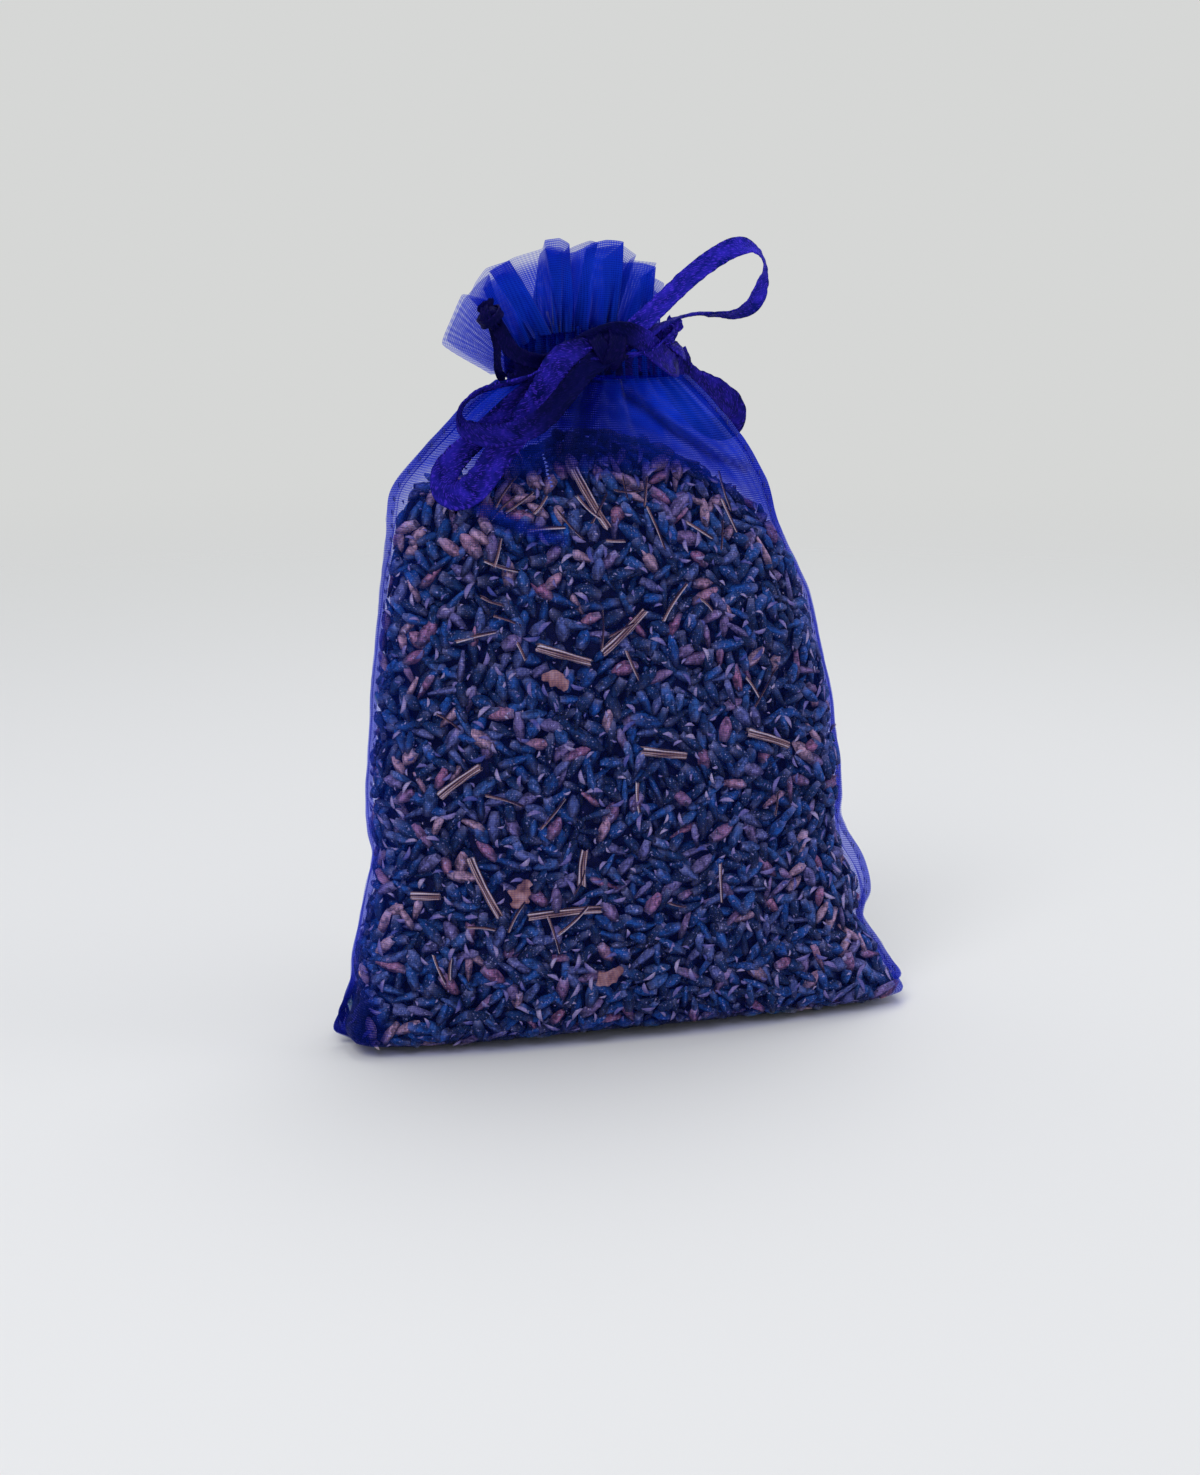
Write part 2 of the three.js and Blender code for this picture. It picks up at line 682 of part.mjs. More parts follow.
// A knot at a ribbon's end with the short flared tip that stands out of it
function endKnot(place, tipWay, grow = 0) {
  const radius = endKnotRadius + grow;
  const waist = endTipRadius / 2 + grow;
  const tipEnd = radius + endTipLength + grow;
  const profile = [
    ...endKnotShares.map(([across, up]) => [across * radius, up * radius]),
    [waist, endWaistShare * radius],
    [endTipRadius + grow, tipEnd],
    [0, tipEnd],
  ];
  const shape = new THREE.LatheGeometry(profile.map(([r, h]) => new THREE.Vector2(r, h)), 9);
  const turn = new THREE.Quaternion().setFromUnitVectors(
    new THREE.Vector3(0, 1, 0),
    new THREE.Vector3(...tipWay).normalize(),
  );
  return shape.applyQuaternion(turn).translate(...place);
}

// A ribbon cut back to stand off the knots that hold it
function ribbonBetween(route, knots, widthWay) {
  let solid = asSolid(ribbon(route, widthWay));
  for (const knot of knots) solid = solid.subtract(asSolid(knot));
  return asGeometry(solid);
}

const upright = new THREE.Vector3(0, 0, 1);
const grownBowKnot = bowKnot(loopRootGap);
const grownLeftEndKnot = endKnot(leftEndKnotPlace, leftEndTipWay, clearance);
const grownRightEndKnot = endKnot(rightEndKnotPlace, rightEndTipWay, clearance);

let heap = asSolid(lavenderHeap());
stalkShares.forEach((row, count) => {
  addPiece(`stalk_${count + 1}`, laidUnderCloth(stalk(row[3]), row, stalkRadius), materials.stalk);
  heap = heap.subtract(asSolid(laidUnderCloth(stalk(row[3], clearance), row, stalkRadius)));
});
scrapShares.forEach((row, count) => {
  addPiece(`leaf_scrap_${count + 1}`, laidUnderCloth(scrap(row[3]), row, scrapHalfThickness), materials.stalk);
  heap = heap.subtract(asSolid(laidUnderCloth(scrap(row[3], clearance), row, scrapHalfThickness)));
});
addPiece("lavender_fill", asGeometry(heap), materials.lavender);

addPiece("front_panel", panel(-1), materials.organza);
addPiece("back_panel", panel(1), materials.organza);
addPiece("left_side_seam", sideSeam(-1), materials.seam);
addPiece("right_side_seam", sideSeam(1), materials.seam);
addPiece("bottom_seam", bottomSeam(), materials.seam);

addPiece("drawstring_channel", gatheredChannel(), materials.gather);
addPiece("front_header", header(-1), materials.organza);
addPiece("back_header", header(1), materials.organza);

const lowerBandBottom = channelBottom + clearance;
const upperBandBottom = lowerBandBottom + ribbonWidth + clearance;
addPiece("left_drawstring", neckBand(lowerBandBottom, 0), materials.ribbon);
addPiece("right_drawstring", neckBand(upperBandBottom, archRise), materials.ribbon);

addPiece("bow_knot", bowKnot(), materials.ribbon);
addPiece("left_front_loop", ribbonBetween(leftFrontRoute, [grownBowKnot]), materials.ribbon);
addPiece("left_hanging_loop", ribbonBetween(leftHangingRoute, [grownBowKnot]), materials.ribbon);
addPiece("right_upper_loop", ribbonBetween(rightUpperRoute, [grownBowKnot]), materials.ribbon);
addPiece("right_rear_loop", ribbon(rightRearRoute), materials.ribbon);
addPiece(
  "left_tail_front_strand",
  ribbonBetween(leftTailFrontRoute, [grownBowKnot, grownLeftEndKnot]),
  materials.ribbon,
);
addPiece("left_tail_rear_strand", ribbonBetween(leftTailRearRoute, [grownLeftEndKnot]), materials.ribbon);
addPiece("left_end_knot", endKnot(leftEndKnotPlace, leftEndTipWay), materials.ribbon);
addPiece(
  "right_tail_front_strand",
  ribbonBetween(rightTailFrontRoute, [grownBowKnot, grownRightEndKnot], upright),
  materials.ribbon,
);
addPiece(
  "right_tail_rear_strand",
  ribbonBetween(rightTailRearRoute, [grownRightEndKnot], upright),
  materials.ribbon,
);
addPiece("right_end_knot", endKnot(rightEndKnotPlace, rightEndTipWay), materials.ribbon);

export default sachet;
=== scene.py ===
"""A lavender sachet: an organza drawstring pouch of dried lavender, tied in a satin bow."""

import bisect
import itertools
import math
import random
from typing import NamedTuple

import bmesh
import bpy
import numpy as np
from bpy.props import FloatProperty, FloatVectorProperty, IntProperty, PointerProperty
from mathutils import Matrix, Vector, noise


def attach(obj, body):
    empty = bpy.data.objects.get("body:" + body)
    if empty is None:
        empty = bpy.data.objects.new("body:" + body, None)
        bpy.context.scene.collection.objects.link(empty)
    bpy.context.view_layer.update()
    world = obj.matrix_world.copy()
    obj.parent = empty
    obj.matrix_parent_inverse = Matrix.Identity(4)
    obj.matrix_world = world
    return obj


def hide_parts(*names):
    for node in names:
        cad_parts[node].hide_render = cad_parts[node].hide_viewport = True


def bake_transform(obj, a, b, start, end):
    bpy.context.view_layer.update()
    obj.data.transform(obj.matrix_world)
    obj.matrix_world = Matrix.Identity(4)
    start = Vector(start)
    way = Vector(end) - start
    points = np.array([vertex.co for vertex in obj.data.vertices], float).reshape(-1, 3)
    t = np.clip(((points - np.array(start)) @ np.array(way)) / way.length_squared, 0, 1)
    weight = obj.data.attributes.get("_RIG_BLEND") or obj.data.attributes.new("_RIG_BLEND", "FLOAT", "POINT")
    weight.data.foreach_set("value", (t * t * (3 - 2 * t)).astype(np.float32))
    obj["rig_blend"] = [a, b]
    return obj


bl_info = {
    "name": "Lavender Sachet",
    "version": (1, 0, 0),
    "blender": (4, 5, 0),
    "location": "View3D > Sidebar > Sachet",
    "description": "Makes an organza drawstring pouch of dried lavender, tied in a satin bow",
    "category": "Add Mesh",
}

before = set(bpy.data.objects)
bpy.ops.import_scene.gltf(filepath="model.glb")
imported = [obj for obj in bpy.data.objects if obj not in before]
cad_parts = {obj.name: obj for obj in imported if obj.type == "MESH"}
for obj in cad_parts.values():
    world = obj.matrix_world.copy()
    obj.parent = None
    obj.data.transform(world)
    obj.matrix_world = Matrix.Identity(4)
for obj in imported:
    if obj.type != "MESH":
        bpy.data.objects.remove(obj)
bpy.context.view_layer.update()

# Shapes are worked out in millimetres and made in metres
MM = 0.001

# The pouch's main sizes, as in the part's source: at its lower corners, its neck and its belly
CORNER_HALF_WIDTH = 51
NECK_HEIGHT = 108.5
BELLY_HALF_DEPTH = 17
NECK_CENTRE_X = -7
CHANNEL_HALF_WIDTH = 13.5
CHANNEL_HALF_DEPTH = 5

# The base and its lifted corners
BASE_HALF_DEPTH = 5.5
CORNER_LIFT = 0.5
LIFT_START_SHARE = 0.78
LIFT_HEIGHT = 3
FLOOR_GAP = 0.25
FLOOR_GAP_HEIGHT = 4

# A panel's grid: its shares in a flat margin and under the base, its cut size and its layers
MARGIN_SHARE = 0.07
BASE_ROW_SHARE = 0.06
MARGIN_HALF_GAP = 0.12
BASE_SEAM_HALF_DEPTH = 1.0
PANEL_FLAT = (100, 128)
PANEL_COLUMNS = 150
PANEL_ROWS = 190
LEAST_LAYERS = 0.8

# The gathers below the neck
GATHER_START = 84
GATHER_COUNT = 9
GATHER_DEPTH = 1.25
LUMP_DEPTH = 0.28
SWELL_DEPTH = 0.35

# The seams and their stitches
SEAM_WIDTH = 1.2
SEAM_HALF_THICKNESS = 0.42
STITCH_INSET = 0.9
STITCH_LIFT = 0.5
STITCH_PITCH = 2.1
STITCH_START = 4.0
STITCH_END = 104
STITCH_RADII = (0.09, 0.08, 0.5)
BOTTOM_SEAM_SHARE = 0.92
BOTTOM_SEAM_HALF_DEPTH = 0.8
BOTTOM_SEAM_HALF_HEIGHT = 0.3
BOTTOM_SEAM_Z = 0.4

# The crossed stitches on the front, below the bow
NECK_STITCHES = 15
NECK_STITCH_START = (-17.8, 101.0)
NECK_STITCH_WAY = (1.5, -8.4)
NECK_STITCH_RADII = (0.34, 0.12, 0.11)
NECK_STITCH_TURN = 0.5
NECK_STITCH_LIFT = 0.25

# The gathered casing and the frill above it
CASING_START = 107.8
CASING_HEIGHT = 9.2
CASING_END_DROP = 2.8
CASING_PLEATS = 42
CASING_PLEAT_DEPTH = 1.15
CASING_LAYERS = 5.5
CASING_FLAT = (200, 10.5)
FRILL_FLAT = (100, 16)
FRILL_PLEAT = 3.4
FRILL_FOOT_DEPTH = 1.3

# Distances within which a shape's edges join: in metres, but for the sticks, in millimetres
JOIN_GAP = 0.00002
CORE_JOIN_GAP = 0.00005
CASING_JOIN_GAP = 0.00001
STICK_JOIN_GAP = 0.0001

# The heap: how far its core, its buds and its crumbs lie in from the cloth
CORE_INSET = 3.4
CORE_MIDDLE = (-2, 0, 45)
OUTER_BUD_INSET = 1.5
INNER_BUD_INSET = 2.9
CRUMB_INSET = 0.8
DOME_START_SHARE = 0.86
LOWEST_BUD_END = 0.95
LOWEST_CRUMB = 1.6
LOW_BUDS_TOP = 45
CRUMB_TRIES = 9000
BUD_TILT = 0.32
CRUMB_TILT = 0.5
HEAP_TURNS = 96
HEAP_RISES = 48
BUD_SEGMENTS = 8
BUD_SPANS = 5

# Stalks, twigs and leaf scraps
STALK_LENGTH = 11
STALK_RADIUS = 0.65
STALK_DEPTH = 0.45
BUD_TO_STALK = 1.7
CRUMB_TO_STALK = 1.2
TWIG_SEED = 31
TWIG_COUNT = 44
TOP_TWIG_COUNT = 18
TWIG_DEPTH = 0.75
SCRAP_HALF_LENGTH = 2.6
SCRAP_HALF_WIDTH = 1.8
SCRAP_THICKNESS = 0.3

# Ribbons, the wraps round their knots and the frayed tips
RIBBON_COLUMNS = 6
RIBBON_STEPS = 10
WRAP_STEPS = 12
TIP_START = 0.9
TIP_HALF_WIDTH = 1.5
TIP_THICKNESS = 0.25 * MM

# The camera, fitted to the photograph
CAMERA_TARGET = (-5.18, 0, 49.09)
CAMERA_AZIMUTH = -16.89
CAMERA_ELEVATION = 13
CAMERA_DISTANCE = 420
SENSOR_WIDTH = 36
FOCAL_PIXELS = 2533.5
PHOTO_WIDTH_PIXELS = 1200

# The lamps: name, place in metres, size in metres and power
LAMPS = [
    ("key_lamp", (-0.45, -0.50, 0.75), 0.5, 3.3),
    ("top_lamp", (0.15, 0.25, 0.85), 0.6, 2.2),
    ("side_lamp", (0.70, -0.25, 0.35), 0.5, 0.9),
]
LAMP_TARGET = (0, 0, 0.05)

# The world's light, the backdrop and the floor
WORLD_LIGHT = (0.93, 0.96, 1.0)
WORLD_STRENGTH = 0.52
BACKDROP = (0.672, 0.680, 0.672)
FLOOR_COLOUR = (0.80, 0.80, 0.805)
FLOOR_RADIUS = 1.6
FLOOR_FADE = (0.12, 0.75)

# Rows up the pouch: height, left and right outline, and half depth, as shares of the pouch's main sizes
ROW_SHARES = [
    (0, 0.93, 0.95, BASE_HALF_DEPTH / BELLY_HALF_DEPTH),
    (0.024, 1.0, 0.985, 0.74),
    (0.055, 0.98, 0.945, 0.86),
    (0.095, 0.942, 0.89, 0.93),
    (0.135, 0.935, 0.837, 0.97),
    (0.175, 0.917, 0.855, 1.0),
    (0.23, 0.89, 0.828, 1.0),
    (0.3, 0.868, 0.75, 0.98),
    (0.335, 0.88, 0.75, 0.97),
    (0.4, 0.878, 0.745, 0.95),
    (0.48, 0.863, 0.71, 0.93),
    (0.56, 0.85, 0.67, 0.9),
    (0.64, 0.836, 0.63, 0.86),
    (0.71, 0.818, 0.575, 0.8),
    (0.78, 0.8, 0.505, 0.73),
    (0.84, 0.778, 0.46, 0.64),
    (0.89, 0.7, 0.4, 0.55),
    (0.935, 0.61, 0.325, 0.46),
    (0.97, 0.53, 0.255, 0.38),
    (1.0, 0.44, 0.19, 0.32),
]

# Width of the flat, empty margins beside the belly: height share, and the left and right one
MARGIN_WIDTHS = [
    (0, 2.2, 2.4),
    (0.06, 1.3, 1.8),
    (0.13, 0.6, 1.4),
    (0.19, 0.5, 2.2),
    (0.25, 0.5, 2.8),
    (0.31, 0.5, 1.3),
    (0.5, 0.5, 0.6),
    (0.72, 0.8, 0.8),
    (0.84, 1.9, 1.6),
    (0.95, 2.6, 2.2),
    (1.0, 2.6, 2.4),
]

# The heap's top: place across, as a share of the corner's, and height, as a share of the neck's
FILL_TOP_SHARES = [
    (-0.84, 0.84),
    (-0.66, 0.865),
    (-0.42, 0.895),
    (-0.2, 0.935),
    (0.0, 0.925),
    (0.2, 0.885),
    (0.36, 0.835),
    (0.52, 0.775),
]

# Stalks and scraps under the front cloth: place shares, slope in degrees, and length share
STALK_SHARES = [
    (-0.31, 0.222, 3, 1.05),
    (-0.105, 0.64, 41, 0.85),
    (-0.3, 0.61, -18, 0.8),
    (-0.63, 0.425, 38, 0.75),
    (-0.56, 0.265, -66, 0.95),
    (-0.74, 0.25, 3, 0.45),
    (-0.25, 0.29, 84, 0.5),
    (-0.19, 0.835, -62, 0.95),
    (0.02, 0.455, -10, 0.7),
    (0.4, 0.46, -22, 0.8),
]
SCRAP_SHARES = [(-0.16, 0.115, 30, 1.0), (-0.33, 0.572, -30, 0.9), (-0.45, 0.255, 60, 1.0)]

# Kinds of bud: how many in ten, length and width factors, and crumpling
BUD_KINDS = {"round": (5, 1.0, 1.0, 0.12), "long": (3, 1.15, 0.72, 0.2), "crumpled": (2, 0.85, 1.0, 0.5)}

# Their profiles: place along a bud and half width, as shares of its length and width
BUD_PROFILE_SHARES = {
    "round": [(0, 0.26), (0.2, 0.74), (0.45, 1.0), (0.65, 0.97), (0.85, 0.78), (1.0, 0.62)],
    "long": [(0, 0.3), (0.25, 0.6), (0.5, 0.85), (0.7, 1.0), (0.88, 0.8), (1.0, 0.4)],
    "crumpled": [(0, 0.45), (0.2, 0.8), (0.4, 0.95), (0.6, 1.0), (0.8, 0.82), (1.0, 0.7)],
}

# Layers of buds, from the outer one in: name, inset, spacing factor, tries and brightness; the inner layer's
# lower brightness is painted shade deep in the heap
BUD_LAYERS = [
    ("outer", OUTER_BUD_INSET, 1.0, 30000, 1),
    ("inner", INNER_BUD_INSET, 1.15, 16000, 0.55),
]

# Dark hollows at the front of the heap, where no buds lie and the core's painted shade shows: x, z, half
# width and half height
HOLLOWS = [(-9.5, 83.2, 6.5, 1.1), (-16, 72, 7, 1.0), (-3.5, 58.6, 7, 1.2), (-8, 74.5, 3, 2.2)]

# Creases in the front cloth: points (x, z), half width, rise and layers laid over each other
FRONT_CREASES = [
    ([(-3.6, 108.6), (-3.0, 106.1), (0.7, 103.6), (4.7, 100.0), (11, 96.3), (18.0, 93.3)], 0.3, 0.5, 5.0),
    ([(-1.6, 106.6), (2.4, 102.9), (7.6, 99.2), (13.2, 96.1), (19.4, 93.6)], 0.22, 0.35, 3.5),
    ([(-31.9, 91.9), (-28.8, 90.1), (-24, 87.7), (-19.2, 85.7), (-14.0, 83.8)], 0.95, 0.5, 4.5),
    ([(-9.6, 109.5), (-10.4, 104), (-9.8, 98)], 1.8, -0.9, 3.0),
    ([(-17.9, 101.8), (-17.2, 97), (-16.4, 91.6)], 0.35, 0.3, 1.5),
    ([(-37, 94.5), (-31, 97.2), (-25.5, 102.0), (-20, 107)], 0.4, 0.5, 1.6),
    ([(6.5, 107.2), (12.5, 103.0), (18.0, 99.0), (23.0, 93.8)], 0.4, 0.5, 1.2),
    ([(-47, 4.4), (-20, 3.8), (10, 4.0), (47, 4.4)], 0.35, 0.4, 0.9),
]
# Which of them are shaded: place in the list above, strength and reach, and the lowest height
CREASE_SHADES = [(0, 0.95, 0.75), (1, 0.75, 0.6), (2, 0.65, 1.3)]
LOWEST_CREASE_SHADE = 81
BACK_CREASES = [
    ([(-3, 108.5), (4, 102.5), (13, 97), (20, 90)], 0.8, 0.9, 5.0),
    ([(-12, 108.5), (-19, 101), (-30, 93), (-36, 85)], 0.9, 0.9, 5.0),
    ([(-7, 108.5), (-6, 101), (-8, 92)], 1.2, -0.8, 3.0),
]

# The frill's edge, stop by stop: x, y, z, share along its foot, layers at the edge and further down
FRONT_HEADER_STOPS = [
    (-24.0, -2.6, 109.6, 0.00, 1.9, 2.6),
    (-31.4, -1.2, 114.3, 0.03, 1.7, 2.2),
    (-28.2, -1.6, 121.9, 0.10, 1.7, 2.4),
    (-25.0, -3.8, 121.2, 0.17, 2.4, 4.0),
    (-26.6, 0.0, 121.4, 0.15, 1.5, 5.0),
    (-25.7, -0.3, 123.7, 0.18, 1.2, 6.0),
    (-24.0, -0.6, 125.8, 0.22, 1.2, 7.0),
    (-20.4, -1.2, 127.2, 0.37, 3.0, 8.0),
    (-23.4, -0.2, 125.4, 0.28, 3.0, 7.0),
    (-19.4, 0.4, 127.5, 0.38, 1.1, 5.0),
    (-15.1, -1.2, 128.9, 0.405, 1.1, 6.0),
    (-15.2, -3.5, 130.3, 0.41, 3.4, 8.0),
    (-13.2, -4.6, 130.6, 0.43, 2.6, 8.0),
    (-11.2, -3.4, 129.6, 0.47, 3.4, 8.0),
    (-11.4, -0.6, 128.4, 0.46, 3.4, 7.0),
    (-14.2, 0.2, 128.8, 0.42, 3.4, 7.0),
    (-12.2, 0.6, 127.8, 0.46, 4.4, 7.0),
    (-9.4, -0.6, 128.2, 0.50, 4.2, 7.5),
    (-6.9, -1.4, 129.6, 0.57, 4.2, 8.0),
    (-4.8, -2.4, 130.1, 0.63, 4.6, 8.0),
    (-2.3, -3.4, 129.8, 0.70, 5.0, 8.0),
    (-5.0, -0.8, 127.0, 0.64, 5.0, 6.0),
    (-2.0, -0.8, 126.6, 0.70, 5.0, 6.0),
    (0.8, -1.6, 126.5, 0.77, 4.8, 6.4),
    (3.4, -2.4, 125.8, 0.86, 5.0, 6.4),
    (1.4, -0.4, 124.0, 0.83, 4.4, 6.0),
    (4.6, -0.4, 121.4, 0.93, 3.0, 4.6),
    (3.6, -1.6, 118.6, 1.0, 3.6, 4.6),
]
BACK_HEADER_STOPS = [
    (-22.8, 1.4, 109.8, 0.0, 2.0, 2.4),
    (-30.2, 0.6, 114.8, 0.04, 1.8, 2.2),
    (-27.3, 0.9, 121.0, 0.1, 1.8, 2.6),
    (-24.8, 1.6, 123.4, 0.17, 2.2, 3.4),
    (-22.6, 3.0, 124.8, 0.23, 2.4, 3.8),
    (-24.2, 0.6, 122.6, 0.2, 2.4, 3.6),
    (-20.6, 1.8, 125.2, 0.27, 2.4, 3.6),
    (-17.6, 3.4, 122.6, 0.33, 2.4, 4.0),
    (-19.0, 1.0, 121.4, 0.3, 2.4, 4.0),
    (-16.0, 1.8, 120.4, 0.36, 2.6, 4.4),
    (-14.7, 1.8, 127.6, 0.39, 3.0, 5.4),
    (-12.6, 4.6, 129.0, 0.44, 3.0, 5.4),
    (-10.6, 2.2, 128.7, 0.47, 1.5, 5.4),
    (-12.0, 1.0, 127.9, 0.45, 3.0, 5.4),
    (-9.0, 1.4, 129.1, 0.5, 1.4, 5.4),
    (-6.1, 2.4, 129.8, 0.56, 1.8, 5.4),
    (-4.0, 5.0, 129.4, 0.62, 4.6, 5.8),
    (-6.6, 3.2, 128.6, 0.57, 4.6, 5.8),
    (-2.6, 1.4, 129.1, 0.66, 4.4, 5.8),
    (-0.8, 1.2, 129.0, 0.7, 1.4, 5.4),
    (1.9, 3.4, 127.6, 0.77, 1.4, 5.0),
    (0.4, 2.0, 126.8, 0.74, 1.6, 5.0),
    (4.6, 1.0, 126.3, 0.86, 1.5, 5.0),
    (3.6, 3.0, 124.6, 0.84, 2.6, 4.4),
    (5.9, 1.0, 123.1, 0.93, 1.8, 3.6),
    (4.9, 0.4, 120.2, 0.97, 2.6, 4.2),
    (3.8, 1.2, 117.6, 1.0, 3.0, 4.2),
]
# The foot of the frill, where it comes out of the gathered casing: x, depth out from the middle, z
HEADER_FOOT = [
    (-20.2, 1.2, 109.6),
    (-19.8, 2.2, 112.2),
    (-18.2, 3.0, 114.6),
    (-14.6, 3.8, 115.8),
    (-10.6, 4.3, 116.2),
    (-6.6, 4.5, 116.3),
    (-2.6, 4.2, 116.0),
    (1.4, 3.4, 115.0),
    (5.0, 1.8, 113.4),
]

# Routes of the ribbons: x, y, z and the ribbon's turn about its own line in degrees
LEFT_FRONT_ROUTE = [
    (-6.4, -9.8, 113.4, 70),
    (-9.2, -9.3, 112.8, 64),
    (-12.2, -9.0, 112.2, 52),
    (-15.7, -8.8, 111.0, 40),
    (-18.3, -8.8, 110.0, 28),
    (-20.7, -8.9, 109.3, 22),
    (-23.3, -9.0, 108.9, 20),
    (-25.8, -9.2, 108.4, 20),
    (-28.1, -9.4, 107.6, 22),
    (-30.0, -9.6, 106.2, 24),
    (-30.9, -10.0, 104.4, 30),
    (-30.5, -10.6, 102.6, 50),
    (-28.5, -11.2, 101.4, 72),
    (-25.8, -11.6, 101.1, 84),
    (-23.0, -11.8, 101.3, 88),
    (-20.1, -11.8, 102.2, 88),
    (-17.5, -11.8, 103.9, 88),
    (-15.2, -11.7, 106.2, 88),
    (-13.0, -11.5, 108.7, 88),
    (-10.8, -11.2, 110.9, 85),
    (-7.6, -10.4, 112.9, 80),
]
LEFT_HANGING_ROUTE = [
    (-6.4, -8.4, 113.2, 80),
    (-9.0, -8.0, 112.4, 80),
    (-11.8, -7.9, 111.4, 80),
    (-15.4, -7.9, 109.8, 80),
    (-18.7, -8.0, 107.8, 80),
    (-22.0, -8.1, 105.4, 82),
    (-25.2, -8.2, 102.7, 84),
    (-28.5, -8.2, 99.8, 86),
    (-31.4, -8.2, 97.2, 88),
    (-33.0, -8.4, 94.9, 88),
    (-33.0, -8.8, 92.8, 88),
    (-31.4, -9.2, 91.8, 88),
    (-29.1, -9.6, 92.5, 88),
    (-26.9, -9.8, 94.8, 88),
    (-24.9, -9.9, 97.7, 88),
    (-22.6, -10.0, 100.6, 88),
    (-20.2, -10.1, 103.6, 88),
    (-18.0, -10.2, 106.6, 88),
    (-16.4, -10.3, 109.6, 88),
    (-14.8, -10.4, 112.2, 80),
    (-12.0, -10.3, 113.7, 66),
    (-8.4, -9.8, 113.8, 66),
]
RIGHT_UPPER_ROUTE = [
    (-6.4, -9.3, 114.4, 85),
    (-3.8, -9.6, 116.0, 85),
    (-0.8, -9.9, 118.4, 85),
    (2.3, -9.9, 121.1, 85),
    (5.6, -9.8, 124.0, 85),
    (9.0, -9.5, 126.5, 84),
    (12.1, -9.2, 128.3, 78),
    (14.9, -8.8, 129.3, 60),
    (17.2, -8.4, 129.2, 36),
    (18.9, -8.1, 128.0, 24),
    (19.7, -7.9, 126.1, 30),
    (19.5, -7.8, 123.8, 54),
    (18.7, -7.9, 121.5, 72),
    (17.1, -8.1, 119.8, 60),
    (14.4, -8.3, 118.9, 30),
    (11.1, -8.6, 118.9, 12),
    (7.3, -8.8, 118.9, 6),
    (4.0, -8.9, 118.0, 4),
    (0.7, -8.8, 116.7, -20),
    (-3.2, -8.5, 115.0, -60),
    (-6.2, -8.2, 113.9, -80),
]
RIGHT_REAR_ROUTE = [
    (8.4, 1.2, 112.2, 90),
    (9.4, 2.3, 110.9, 85),
    (10.6, 3.4, 109, 75),
    (12.8, 4.4, 107.2, 70),
    (15.2, 5, 105.9, 70),
    (17.4, 5.4, 104.6, 70),
    (19.4, 5.9, 103, 70),
    (20.2, 6.4, 101, 75),
    (19.2, 7, 99.4, 80),
    (17, 7.5, 99, 85),
    (14.4, 7.8, 100.4, 85),
    (12, 7.7, 102.8, 85),
    (9.8, 7, 105.4, 80),
    (8.4, 6, 107.8, 80),
    (7.7, 5, 109.6, 85),
    (7.4, 4, 111, 90),
]
LEFT_TAIL_REAR_ROUTE = [
    (-21.6, -3.2, 109.6, 55),
    (-22.6, -5.0, 109.5, 50),
    (-23.6, -6.4, 110.7, 40),
    (-24.0, -7.4, 112.5, 35),
    (-24.2, -8.0, 114.5, 40),
    (-24.7, -8.4, 116.6, 60),
    (-25.3, -8.6, 118.4, 80),
]
LEFT_TAIL_FRONT_ROUTE = [
    (-6.4, -7.3, 113.4, 80),
    (-10.6, -7.2, 112.8, 80),
    (-14.0, -7.6, 112.2, 80),
    (-17.0, -8.4, 111.9, 80),
    (-19.6, -9.0, 112.5, 80),
    (-21.8, -9.4, 113.5, 76),
    (-23.2, -9.5, 115.1, 72),
    (-24.1, -9.4, 116.9, 70),
    (-25.1, -9.2, 118.6, 70),
]
RIGHT_TAIL_REAR_ROUTE = [
    (8.3, -0.8, 112.2, 20),
    (8, -2.8, 112.4, 20),
    (6.8, -4.6, 113.1, 30),
    (5, -5.8, 114.1, 40),
    (3.4, -6.6, 115.2, 40),
]
RIGHT_TAIL_FRONT_ROUTE = [
    (-5.6, -8.6, 113, 70),
    (-2.8, -9.6, 112.9, 75),
    (-0.4, -9.6, 113.3, 75),
    (1.6, -8.6, 114.2, 60),
    (3.2, -7.0, 115.2, 40),
]
LEFT_END_KNOT = (-25.5, -8.8, 118.9)
LEFT_END_TIP_WAY = (-0.35, -0.1, 1)
RIGHT_END_KNOT = (3.4, -6.8, 115.3)
RIGHT_END_TIP_WAY = (0.7, 0.1, 0.7)
BOW_KNOT = (-6.6, -9.2, 113.7)

# The drawstrings round the casing; the right one bunches up into an arch over the bow's knot
RIGHT_DRAWSTRING_ROUTE = [
    (-20.4, -1.4, 110.6, 0),
    (-18.6, -3.8, 110.6, 0),
    (-16.0, -6.0, 111.0, 0),
    (-13.5, -7.2, 112.3, 4),
    (-10.9, -8.4, 114.0, 8),
    (-8.3, -9.5, 115.5, 10),
    (-5.5, -10.3, 116.2, 10),
    (-2.7, -10.4, 115.7, 8),
    (-0.2, -9.8, 114.2, 4),
    (2.2, -8.6, 112.3, 0),
    (4.6, -6.4, 110.8, 0),
    (6.8, -3.0, 110.4, 0),
    (7.2, 1.2, 112.2, 0),
    (3.6, 4.2, 113.6, 0),
    (-2.0, 5.6, 114.1, 0),
    (-8.0, 5.9, 114.1, 0),
    (-14.4, 5.0, 113.8, 0),
    (-18.8, 2.8, 112.4, 0),
    (-20.6, 0.6, 111, 0),
]
